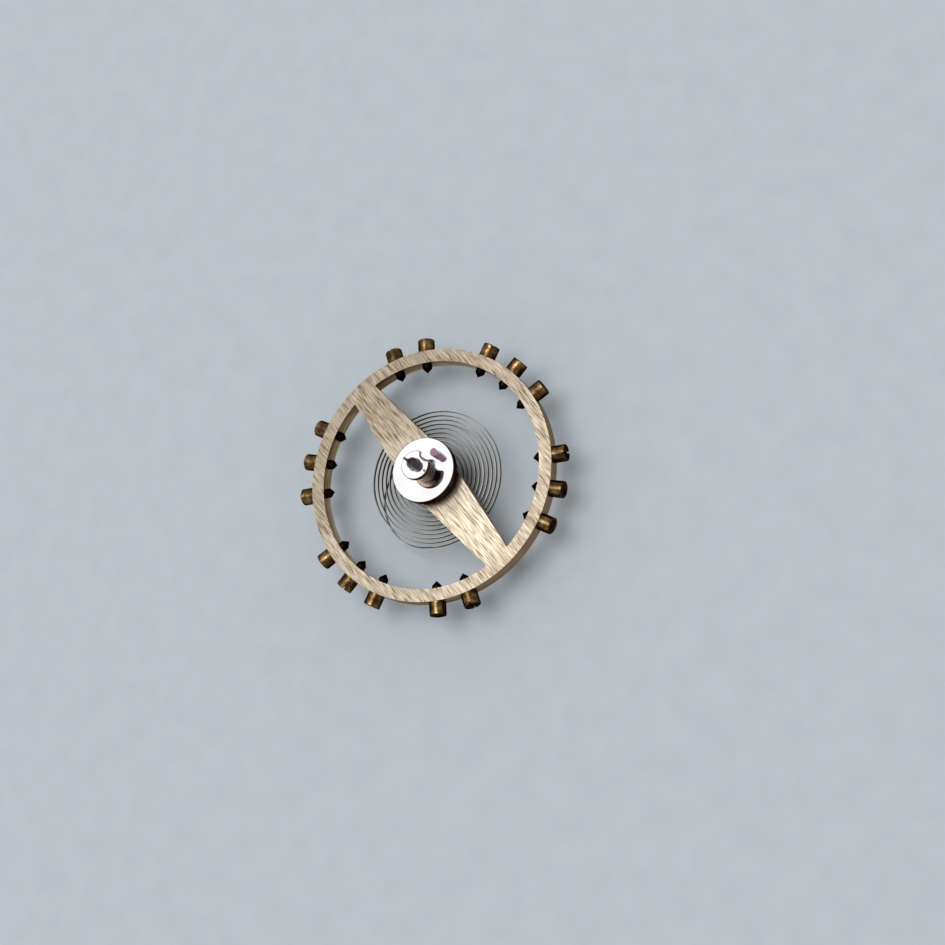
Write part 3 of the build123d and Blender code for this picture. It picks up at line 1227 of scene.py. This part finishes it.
    def edges_to_break(self, work: Workpiece) -> list[bmesh.types.BMEdge]:
        """Chooses the edges of the upper face and of the rim's lower face.

        Args:
            work: The wheel's shape.

        Returns:
            The sharp edges there, without those at the hub's hole.
        """
        chosen = []
        heights = (self.face, self.face - self.rim_height)
        for edge in work.mesh.edges:
            middle = (edge.verts[0].co + edge.verts[1].co) / 2
            level = any(
                all(abs(vert.co.z - height) < MERGE_DISTANCE for vert in edge.verts)
                for height in heights
            )
            at_hub = middle.xy.length < self.hub_hole_radius + self.edge
            if level and not at_hub and edge.calc_face_angle(0.0) > math.radians(SHARP_ANGLE):
                chosen.append(edge)
        return chosen

    def build(self, screw_angles: Sequence[float], screw_height: float) -> None:
        """Builds and dresses the wheel.

        Args:
            screw_angles: Where the screws' holes go through the rim.
            screw_height: Height of the holes' axes.
        """
        work = self.shape(screw_angles, screw_height)
        finishes = (GRAINED_BRASS, EDGE_BRASS_AND_HIGHLIGHT, INNER_WALL_SHADED_BRASS, OUTER_WALL_SHADED_BRASS)
        # Walls take their own copies of the brass, the outer one darker, as painted shade.
        for face in work.mesh.faces:
            outside = face.calc_center_median().xy.length > self.outer_radius - self.edge
            kind = OUTER_WALL_SHADED_BRASS if outside else INNER_WALL_SHADED_BRASS
            if abs(face.normal.z) > FLAT_NORMAL:
                kind = GRAINED_BRASS
            # Upward bevels take the paler brass: partly a burnished chamfer, partly a painted highlight.
            elif face.normal.z > SLANTED_NORMAL:
                kind = EDGE_BRASS_AND_HIGHLIGHT
            face.material_index = finishes.index(kind)
        piece = work.finish("wheel", "balance_wheel", Slot.WHEEL, finishes)
        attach(piece, Body.BALANCE.value)


@dataclass
class BalanceScrews:
    """The sixteen screws in the rim."""

    seat: float = 6.15
    axis_height: float = 1.90
    head_radius: float = 0.40
    head_length: float = 0.64
    head_rounding: float = 0.05
    shank_radius: float = 0.23
    tip: float = 5.12
    cone_length: float = 0.24
    cone_rounding: float = 0.03
    seat_rounding: float = 0.02
    saw_length: float = 1.20
    slot_width: float = 0.08
    slot_depth: float = 0.12
    slot_angle: float = 67.0
    first_angle: float = 24.7
    pitch: float = 15.0
    places: tuple[int, ...] = (0, 1, 2, 4, 5, 6, 8, 9)
    finishes: ClassVar[tuple[Finish, ...]] = (HEAD_BRONZE, END_SHADED_BRONZE, THREAD_SHADED_BRONZE)

    def angles(self) -> list[float]:
        """Finds where the screws stand round the rim.

        Returns:
            The screws' directions from X, one half of the rim after the other.
        """
        return [
            self.first_angle + place * self.pitch + side
            for side in (0.0, HALF_TURN)
            for place in self.places
        ]

    def shape(self) -> Workpiece:
        """Makes one screw.

        Returns:
            The screw along Z, its slot not yet turned.
        """
        head_end = self.seat + self.head_length
        corners = (
            Corner(0.0, self.tip),
            Corner(self.shank_radius, self.tip + self.cone_length, self.cone_rounding),
            Corner(self.shank_radius, self.seat),
            Corner(self.head_radius, self.seat, self.seat_rounding),
            Corner(self.head_radius, head_end, self.head_rounding),
            Corner(0.0, head_end),
        )
        screw = Workpiece().turn(corners, steps=72)
        saw = Workpiece().block(self.saw_length, self.slot_width, self.slot_depth * 2)
        screw.cut(saw.shift(0.0, 0.0, head_end)).mark_lathe()
        # Shank and tip take the near-black copy and the end faces the darker copy: painted shade.
        for face in screw.mesh.faces:
            height = face.calc_center_median().z
            kind = HEAD_BRONZE
            if height < self.seat - MERGE_DISTANCE:
                kind = THREAD_SHADED_BRONZE
            elif height > head_end - self.head_rounding:
                kind = END_SHADED_BRONZE
            face.material_index = self.finishes.index(kind)
        return screw

    def build(self) -> None:
        """Builds and dresses all the screws."""
        pattern = self.shape()
        for number, angle in enumerate(self.angles(), start=1):
            work = pattern.copy()
            work.move(turned_by(number * self.slot_angle)).move(turned_by(QUARTER_TURN, "Y"))
            work.shift(0.0, 0.0, self.axis_height).move(turned_by(angle))
            name = f"screw_{number:02d}"
            piece = work.finish(name, f"balance_{name}", Slot.SCREW, self.finishes)
            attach(piece, Body.BALANCE.value)
        pattern.mesh.free()


@dataclass
class BalanceStaff:
    """The axle, with a pivot at each end."""

    pivot_radius: float = 0.06
    pivot_rounding: float = 0.02
    trumpet_rounding: float = 0.16
    turned_rounding: float = 0.012
    corners: tuple[tuple[float, float], ...] = (
        (0.25, 0.72),
        (0.25, 1.20),
        (0.36, 1.20),
        (0.36, 1.82),
        (0.63, 1.82),
        (0.63, 1.88),
        (0.55, 1.88),
        (0.55, 2.28),
        (0.66, 2.28),
        (0.66, 2.56),
        (0.42, 2.56),
        (0.42, 2.96),
        (0.30, 2.96),
        (0.30, 3.876),
        (0.27, 3.876),
        (0.27, 4.236),
    )
    lower_cone: float = 0.40
    upper_cone: float = 4.656
    top: float = 5.056

    def build(self) -> None:
        """Builds and dresses the staff."""
        pivot = self.pivot_radius
        corners = [
            Corner(0.0, 0.0),
            Corner(pivot, 0.0, self.pivot_rounding),
            Corner(pivot, self.lower_cone, self.trumpet_rounding),
            *(Corner(radius, height, self.turned_rounding) for radius, height in self.corners),
            Corner(pivot, self.upper_cone, self.trumpet_rounding),
            Corner(pivot, self.top, self.pivot_rounding),
            Corner(0.0, self.top),
        ]
        work = Workpiece().turn(corners, steps=128)
        piece = work.finish("staff", "balance_staff", Slot.STAFF, (STAFF_STEEL,))
        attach(piece, Body.BALANCE.value)


@dataclass
class DoubleRoller:
    """Impulse roller, safety roller, jewel and shellac."""

    roller_bottom: float = 2.56
    roller_face: float = 2.96
    roller_radius: float = 1.57
    roller_bore: float = 0.425
    pipe_base: float = 2.965
    pipe_radius: float = 0.50
    disc_bottom: float = 3.616
    disc_face: float = 3.876
    disc_radius: float = 0.69
    disc_bore: float = 0.305
    rounding: float = 0.03
    fine_rounding: float = 0.012
    crescent_radius: float = 0.44
    crescent_distance: float = 0.83
    jewel_angle: float = -90.0
    jewel_distance: float = 1.01
    jewel_radius: float = 0.20
    jewel_flat: float = 0.15
    jewel_bottom: float = 2.46
    jewel_top: float = 3.51
    jewel_gap: float = 0.005
    jewel_edge: float = 0.024
    overrun: float = 0.40
    shellac_radius: float = 0.28
    shellac_bottom: float = 2.435
    shellac_top: float = 2.555
    shellac_foot_radius: float = 0.2296
    shellac_rim: float = 0.02
    shellac_rounding: float = 0.05

    def jewel_rod(self, grown: float, bottom: float, top: float) -> Workpiece:
        """The D-shaped rod of the jewel, or the hole that it needs.

        Args:
            grown: Gap added all round.
            bottom: Height of its lower end.
            top: Height of its upper end.

        Returns:
            The rod in its place.
        """
        radius = self.jewel_radius + grown
        rod = Workpiece().rod(radius, radius, top - bottom, steps=80)
        rod.file_flat(Vector((self.jewel_flat + grown, 0.0, 0.0)), Vector((1.0, 0.0, 0.0)))
        rod.shift(self.jewel_distance, 0.0, (top + bottom) / 2)
        return rod.move(turned_by(self.jewel_angle))

    def dress_roller(self, work: Workpiece, name: str, node: str) -> None:
        """Gives a roller its mirror faces, and its softer edges in a near-black copy of the steel as painted
        shade.

        Args:
            work: The roller's shape.
            name: The piece's name.
            node: The CAD node that it stands for.
        """
        middle = plan(self.jewel_angle, self.crescent_distance)
        finishes = (ROLLER_STEEL, ROLLER_SHADED_EDGE, CRESCENT_STEEL, PIPE_STEEL_PAINTED_REFLECTION)
        for face in work.mesh.faces:
            place = face.calc_center_median()
            in_crescent = (place - middle).xy.length < self.crescent_radius + MERGE_DISTANCE
            # Faces other than the mirror, the crescent and the pipe take the near-black copy: painted shade.
            kind = CRESCENT_STEEL if in_crescent and place.z > self.disc_bottom else ROLLER_SHADED_EDGE
            if face.normal.z > FLAT_NORMAL:
                kind = ROLLER_STEEL
            # The pipe and the disc's underside take the brown steel: a painted reflection and painted shade.
            elif self.roller_face < place.z < self.disc_bottom + MERGE_DISTANCE:
                kind = PIPE_STEEL_PAINTED_REFLECTION
            face.material_index = finishes.index(kind)
        piece = work.finish(name, node, Slot.ROLLER, finishes)
        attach(piece, Body.BALANCE.value)

    def build_impulse_roller(self) -> None:
        """Builds and dresses the large roller."""
        corners = (
            Corner(self.roller_bore, self.roller_bottom, self.fine_rounding),
            Corner(self.roller_radius, self.roller_bottom, self.rounding),
            Corner(self.roller_radius, self.roller_face, self.rounding),
            Corner(self.roller_bore, self.roller_face, self.fine_rounding),
        )
        work = Workpiece().turn(corners, closed=True, steps=180)
        bottom, top = self.roller_bottom - self.overrun, self.roller_face + self.overrun
        work.cut(self.jewel_rod(self.jewel_gap, bottom, top))
        self.dress_roller(work, "table_roller", "impulse_roller")

    def build_safety_roller(self) -> None:
        """Builds and dresses the small roller on its pipe."""
        corners = (
            Corner(self.disc_bore, self.pipe_base, self.fine_rounding),
            Corner(self.pipe_radius, self.pipe_base, self.fine_rounding),
            Corner(self.pipe_radius, self.disc_bottom, self.fine_rounding),
            Corner(self.disc_radius, self.disc_bottom, self.rounding),
            Corner(self.disc_radius, self.disc_face, self.rounding),
            Corner(self.disc_bore, self.disc_face, self.fine_rounding),
        )
        work = Workpiece().turn(corners, closed=True, steps=144)
        height = self.disc_face - self.disc_bottom + 2 * self.overrun
        cutter = Workpiece().rod(self.crescent_radius, self.crescent_radius, height, steps=80)
        cutter.shift(self.crescent_distance, 0.0, (self.disc_face + self.disc_bottom) / 2)
        work.cut(cutter.move(turned_by(self.jewel_angle)))
        self.dress_roller(work, "guard_roller", "safety_roller")

    def build_jewel(self) -> None:
        """Builds and dresses the ruby pin and its shellac."""
        work = self.jewel_rod(0.0, self.jewel_bottom, self.jewel_top).break_edges(self.jewel_edge)
        finishes = (RUBY, RUBY_SHADED_EDGE)
        # The chamfers take the dark copy of the ruby: painted shade.
        for face in work.mesh.faces:
            slanted = SLANTED_NORMAL < abs(face.normal.z) < FLAT_NORMAL
            face.material_index = finishes.index(RUBY_SHADED_EDGE if slanted else RUBY)
        piece = work.finish("jewel", "impulse_jewel", Slot.JEWEL, finishes)
        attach(piece, Body.BALANCE.value)
        rim = self.shellac_top - self.shellac_rim
        corners = (
            Corner(0.0, self.shellac_bottom),
            Corner(self.shellac_foot_radius, self.shellac_bottom, self.shellac_rounding),
            Corner(self.shellac_radius, rim, self.shellac_rounding),
            Corner(self.shellac_radius, self.shellac_top),
            Corner(0.0, self.shellac_top),
        )
        place = plan(self.jewel_angle, self.jewel_distance)
        bead = Workpiece().turn(corners, steps=64).move(Matrix.Translation(place))
        bottom = self.jewel_bottom - self.jewel_gap
        bead.cut(self.jewel_rod(self.jewel_gap, bottom, self.roller_face))
        piece = bead.finish("shellac_bead", "jewel_shellac", Slot.SHELLAC, (AMBER_SHELLAC,))
        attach(piece, Body.BALANCE.value)

    def build(self) -> None:
        """Builds and dresses the double roller."""
        self.build_impulse_roller()
        self.build_safety_roller()
        self.build_jewel()


@dataclass
class SpringPins:
    """The half-round pins that lock the hairspring's two ends."""

    radius: float = 0.090
    thin_radius: float = 0.082
    flat: float = 0.031
    edge: float = 0.008

    def build(
        self, place: Vector, angle: float, length: float, names: tuple[str, str], body: Body
    ) -> None:
        """Builds and dresses one pin.

        Args:
            place: The pinning hole's centre.
            angle: Direction of the ribbon's outer side there.
            length: The pin's length.
            names: The piece's name and the CAD node's name.
            body: The body that it rides on.
        """
        work = Workpiece().rod(self.radius, self.thin_radius, length, DRILL_STEPS)
        work.file_flat(Vector((self.flat, 0.0, 0.0)), Vector((-1.0, 0.0, 0.0)))
        work.break_edges(self.edge).move(turned_by(QUARTER_TURN, "X")).move(turned_by(angle))
        work.move(Matrix.Translation(place))
        piece = work.finish(*names, Slot.COLLET, (TURNED_BRASS,))
        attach(piece, body.value)


@dataclass
class Hairspring:
    """Spiral, ramp and overcoil as one ribbon, with its collet and its stud."""

    thickness: float = 0.045
    height: float = 0.16
    edge: float = 0.008
    turns: int = 12
    inner_radius: float = 0.90
    outer_radius: float = 3.38
    end_angle: float = 140.0
    elbow_radius: float = 0.20
    middle: float = 1.51
    tail_past_middle: float = 0.22
    drop: float = 0.55
    ramp_angle: float = 28.0
    ramp_steps: int = 14
    sweep_radius: float = 2.45
    sweep_angle: float = 118.0
    outer_end: float = 1.00
    arc_step: float = 4.0
    least_arc_steps: int = 8
    collet_bore: float = 0.365
    collet_radius: float = 0.66
    collet_base: float = 1.25
    collet_top: float = 1.77
    collet_rounding: float = 0.03
    bore_rounding: float = 0.01
    collet_slit: float = 0.07
    collet_hole_distance: float = 0.51
    collet_pin_length: float = 0.62
    hole_radius: float = 0.100
    stud_shank_radius: float = 0.25
    stud_foot_radius: float = 0.42
    stud_base: float = 0.11
    stud_shoulder: float = 0.80
    stud_top: float = 1.16
    stud_rounding: float = 0.03
    stud_corner_rounding: float = 0.01
    stud_shoulder_rounding: float = 0.015
    stud_pin_length: float = 1.00
    hole_overrun: float = 0.20
    pins: SpringPins = field(default_factory=SpringPins)
    pinned_inner_length: float = field(default=0.0, init=False)
    free_length_end: float = field(default=0.0, init=False)

    @property
    def pitch(self) -> float:
        """Distance from turn to turn. The shifted half circles end a quarter of it short."""
        return (self.outer_radius - self.inner_radius) / (self.turns - 1 / 4)

    def elbow(self) -> tuple[Vector, float]:
        """Finds the elbow between the collet's hole and the first turn.

        Returns:
            The elbow's centre, and the outward direction of the pinned inner end.
        """
        centre = plan(self.end_angle, self.inner_radius - self.elbow_radius - self.pitch / 4)
        share = (self.collet_hole_distance - self.elbow_radius) / centre.length
        heading = math.degrees(math.atan2(centre.y, centre.x))
        return centre, heading + math.degrees(math.acos(share))

    def sweep(self) -> tuple[Vector, float]:
        """Centre and end angle of the overcoil's inward sweep."""
        start = self.end_angle - self.ramp_angle
        return plan(start, self.outer_radius - self.sweep_radius), start - self.sweep_angle

    def stud_place(self) -> Vector:
        """Centre of the stud in plan."""
        centre, end = self.sweep()
        return centre + plan(end, self.sweep_radius) + plan(end - QUARTER_TURN, self.outer_end / 2)

    def section(self, work: Workpiece, place: Vector, outwards: Vector) -> Geometry:
        """Draws the ribbon's section with its corners taken off.

        Args:
            work: The workpiece.
            place: Middle of the section.
            outwards: Direction of the section's thickness.

        Returns:
            The section's geometry, ready to be drawn along.
        """
        across, upwards = outwards * (self.thickness / 2), UP * (self.height / 2)
        verts = work.chain(
            [
                place - across - upwards,
                place + across - upwards,
                place + across + upwards,
                place - across + upwards,
            ],
            closed=True,
        )
        work.mesh.faces.new(verts)
        work.bevel(work.mesh.verts[:], self.edge, 1, "VERTICES")
        return work.everything()

    def ribbon(self) -> Workpiece:
        """Draws the whole ribbon from the collet to the stud.

        Returns:
            The ribbon, with each point's distance along it kept on the mesh.
        """
        work = Workpiece()
        run = work.mesh.verts.layers.float_vector.new(RUN_COORDINATES)
        elbow_centre, normal_angle = self.elbow()
        normal, ahead = plan(normal_angle), plan(normal_angle - QUARTER_TURN)
        tail = normal * self.collet_hole_distance - ahead * self.tail_past_middle
        bend = elbow_centre + normal * self.elbow_radius

        def mark(items: Geometry, distance: float) -> Geometry:
            """Keeps the distance along the ribbon on the vertices just made.

            Args:
                items: The section's geometry.
                distance: How far along the ribbon it is.

            Returns:
                The same geometry.
            """
            for item in items:
                if isinstance(item, bmesh.types.BMVert):
                    item[run] = Vector((distance, item.co.z, 0.0)) * MM
            return items

        geometry = mark(self.section(work, tail + UP * self.middle, normal), 0.0)
        length = (bend - tail).length
        geometry = mark(work.spin(geometry, ORIGIN, 0.0, move=bend - tail), length)
        self.pinned_inner_length = length
        arcs = [(elbow_centre, self.elbow_radius, self.end_angle - normal_angle)]
        for half in range(2 * self.turns):
            side = 1 if half % 2 else -1
            centre = plan(self.end_angle, side * self.pitch / 4)
            arcs.append((centre, self.inner_radius + half * self.pitch / 2, -HALF_TURN))
        for centre, radius, angle in arcs:
            steps = max(self.least_arc_steps, round(abs(angle) / self.arc_step))
            for _ in range(steps):
                length += radius * math.radians(abs(angle) / steps)
                geometry = mark(work.spin(geometry, centre, angle / steps), length)
        angle = self.ramp_angle / self.ramp_steps
        dropped = 0.0
        for step in range(1, self.ramp_steps + 1):
            share = step / self.ramp_steps
            fall = self.drop * (3 * share**2 - 2 * share**3) - dropped
            dropped += fall
            length += math.hypot(self.outer_radius * math.radians(angle), fall)
            geometry = mark(work.spin(geometry, ORIGIN, -angle, move=UP * -fall), length)
        centre, end = self.sweep()
        steps = round(self.sweep_angle / self.arc_step)
        for _ in range(steps):
            length += self.sweep_radius * math.radians(self.sweep_angle / steps)
            geometry = mark(work.spin(geometry, centre, -self.sweep_angle / steps), length)
        self.free_length_end = length
        straight = plan(end - QUARTER_TURN, self.outer_end)
        mark(work.spin(geometry, ORIGIN, 0.0, move=straight), length + self.outer_end)
        return work.clean()

    def build_ribbon(self) -> None:
        """Builds and dresses the ribbon, which winds up between the stud and the balance."""
        work = self.ribbon()
        start = (0.0, 0.0, (self.middle - self.drop) * MM)
        end = (0.0, 0.0, self.middle * MM)
        finishes = (SPRING_EDGE, SPRING_SHADED_SIDE)
        for face in work.mesh.faces:
            # Upright sides take the darker copy of the steel: painted shade.
            kind = SPRING_EDGE if abs(face.normal.z) > SLANTED_NORMAL else SPRING_SHADED_SIDE
            face.material_index = finishes.index(kind)
        piece = work.finish("hairspring_ribbon", "hairspring", Slot.SPRING, finishes)
        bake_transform(piece, Body.STUD.value, Body.BALANCE.value, start=start, end=end)
        runs = piece.data.attributes[RUN_COORDINATES].data
        shares = piece.data.attributes["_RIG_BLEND"].data
        first, last = self.pinned_inner_length * MM, self.free_length_end * MM
        for number, place in enumerate(runs):
            share = (last - place.vector.x) / (last - first)
            shares[number].value = min(1.0, max(0.0, share))

    def pin_drill(self, place: Vector, angle: float, radius: float) -> Workpiece:
        """Makes the drill for a pinning hole.

        Args:
            place: The hole's centre.
            angle: Direction of the ribbon's outer side there.
            radius: Radius of what it goes through.

        Returns:
            The drill in its place.
        """
        length = 2 * (radius + self.hole_overrun)
        drill = Workpiece().rod(self.hole_radius, self.hole_radius, length, DRILL_STEPS)
        drill.move(turned_by(QUARTER_TURN, "X")).move(turned_by(angle))
        return drill.move(Matrix.Translation(place))

    def build_collet(self) -> None:
        """Builds and dresses the split collet and its pin."""
        corners = (
            Corner(self.collet_bore, self.collet_base, self.bore_rounding),
            Corner(self.collet_radius, self.collet_base, self.collet_rounding),
            Corner(self.collet_radius, self.collet_top, self.collet_rounding),
            Corner(self.collet_bore, self.collet_top, self.bore_rounding),
        )
        work = Workpiece().turn(corners, closed=True, steps=128)
        angle = self.elbow()[1]
        place = plan(angle, self.collet_hole_distance, self.middle)
        reach = self.collet_radius + self.hole_overrun
        height = self.collet_top - self.collet_base + self.hole_overrun
        saw = Workpiece().block(reach, self.collet_slit, height)
        saw.shift(reach / 2, 0.0, self.middle).move(turned_by(angle + HALF_TURN))
        work.cut(self.pin_drill(place, angle, self.collet_radius)).cut(saw)
        piece = work.finish("collet", "hairspring_collet", Slot.COLLET, (TURNED_BRASS,))
        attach(piece, Body.BALANCE.value)
        names = ("collet_taper_pin", "collet_pin")
        self.pins.build(place, angle, self.collet_pin_length, names, Body.BALANCE)

    def build_stud(self) -> None:
        """Builds and dresses the stud and its pin."""
        corners = (
            Corner(0.0, self.stud_base),
            Corner(self.stud_shank_radius, self.stud_base, self.stud_rounding),
            Corner(self.stud_shank_radius, self.stud_shoulder, self.stud_corner_rounding),
            Corner(self.stud_foot_radius, self.stud_shoulder, self.stud_shoulder_rounding),
            Corner(self.stud_foot_radius, self.stud_top, self.stud_rounding),
            Corner(0.0, self.stud_top),
        )
        place, end = self.stud_place(), self.sweep()[1]
        hole_place = place + UP * (self.middle - self.drop)
        work = Workpiece().turn(corners, steps=96).move(Matrix.Translation(place))
        work.cut(self.pin_drill(hole_place, end, self.stud_foot_radius))
        piece = work.finish("stud", "hairspring_stud", Slot.STAFF, (STUD_STEEL,))
        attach(piece, Body.STUD.value)
        names = ("stud_taper_pin", "stud_pin")
        self.pins.build(hole_place, end, self.stud_pin_length, names, Body.STUD)

    def build(self) -> None:
        """Builds and dresses the hairspring with its collet and stud."""
        self.build_ribbon()
        self.build_collet()
        self.build_stud()


@dataclass(frozen=True)
class Panel:
    """A square of even light that faces the object, in metres and degrees."""

    name: str
    azimuth: float
    elevation: float
    side: float
    radiance: float
    distance: float = 1.0


@dataclass
class Studio:
    """Pale floor, soft light and the photograph's camera, in metres."""

    floor_side: float = 3.0
    floor_height: float = -0.00002
    world_colour: Colour = (0.50, 0.505, 0.515)
    panels: tuple[Panel, ...] = (
        Panel("lamp", azimuth=30.0, elevation=84.0, side=0.60, radiance=3.8),
        Panel("window", azimuth=15.3, elevation=62.0, side=0.60, radiance=0.60),
    )
    aim: Triple = (-0.001538, -0.001626, 0.00228)
    distance: float = 0.093125
    azimuth: float = 195.33
    elevation: float = 62.224
    roll: float = -56.851
    lens: float = 76.19
    sensor: float = 36.0
    near: float = 0.001
    far: float = 10.0

    def towards(self, azimuth: float, elevation: float) -> Vector:
        """Direction of a place in the studio, seen from the object."""
        level = math.cos(math.radians(elevation))
        return plan(azimuth, level, math.sin(math.radians(elevation)))

    def build_floor(self) -> None:
        """Lays the floor."""
        work = Workpiece()
        bmesh.ops.create_grid(work.mesh, x_segments=1, y_segments=1, size=self.floor_side / 2)
        floor = work.shift(0.0, 0.0, self.floor_height).as_object("floor")
        floor.data.materials.append(FLOOR_PAPER.material())

    def build_light(self) -> None:
        """Lights the room evenly, with the panels on top."""
        world = bpy.data.worlds.new("room")
        world.use_nodes = True
        background = world.node_tree.nodes["Background"]
        background.inputs["Color"].default_value = (*self.world_colour, 1.0)
        background.inputs["Strength"].default_value = 1.0
        bpy.context.scene.world = world
        for panel in self.panels:
            data = bpy.data.lights.new(panel.name, "AREA")
            data.shape, data.size = "SQUARE", panel.side
            data.energy = panel.radiance * math.pi * panel.side**2
            lamp = bpy.data.objects.new(panel.name, data)
            bpy.context.scene.collection.objects.link(lamp)
            outwards = self.towards(panel.azimuth, panel.elevation)
            lamp.location = outwards * panel.distance
            lamp.rotation_mode = "QUATERNION"
            lamp.rotation_quaternion = outwards.to_track_quat("Z", "Y")
            lamp.visible_camera = False

    def build_camera(self) -> None:
        """Sets up the camera at the photograph's place."""
        data = bpy.data.cameras.new("camera")
        data.lens, data.sensor_width = self.lens, self.sensor
        data.clip_start, data.clip_end = self.near, self.far
        camera = bpy.data.objects.new("camera", data)
        bpy.context.scene.collection.objects.link(camera)
        back = self.towards(self.azimuth, self.elevation)
        level = (-back).cross(UP).normalized()
        upright = level.cross(-back)
        turn = math.radians(self.roll)
        right = level * math.cos(turn) + upright * math.sin(turn)
        upwards = upright * math.cos(turn) - level * math.sin(turn)
        place = Matrix((right, upwards, back)).transposed().to_4x4()
        place.translation = Vector(self.aim) + back * self.distance
        camera.matrix_world = place
        bpy.context.scene.camera = camera

    def build(self) -> None:
        """Builds the studio."""
        bpy.context.scene.view_settings.view_transform = "Standard"
        self.build_floor()
        self.build_light()
        self.build_camera()


def main() -> None:
    """Builds the studio and every piece of the balance."""
    logging.basicConfig(level=logging.INFO, format="%(name)s: %(message)s")
    Studio().build()
    screws = BalanceScrews()
    BalanceWheel().build(screws.angles(), screws.axis_height)
    screws.build()
    BalanceStaff().build()
    DoubleRoller().build()
    Hairspring().build()


if __name__ == "__main__":
    main()
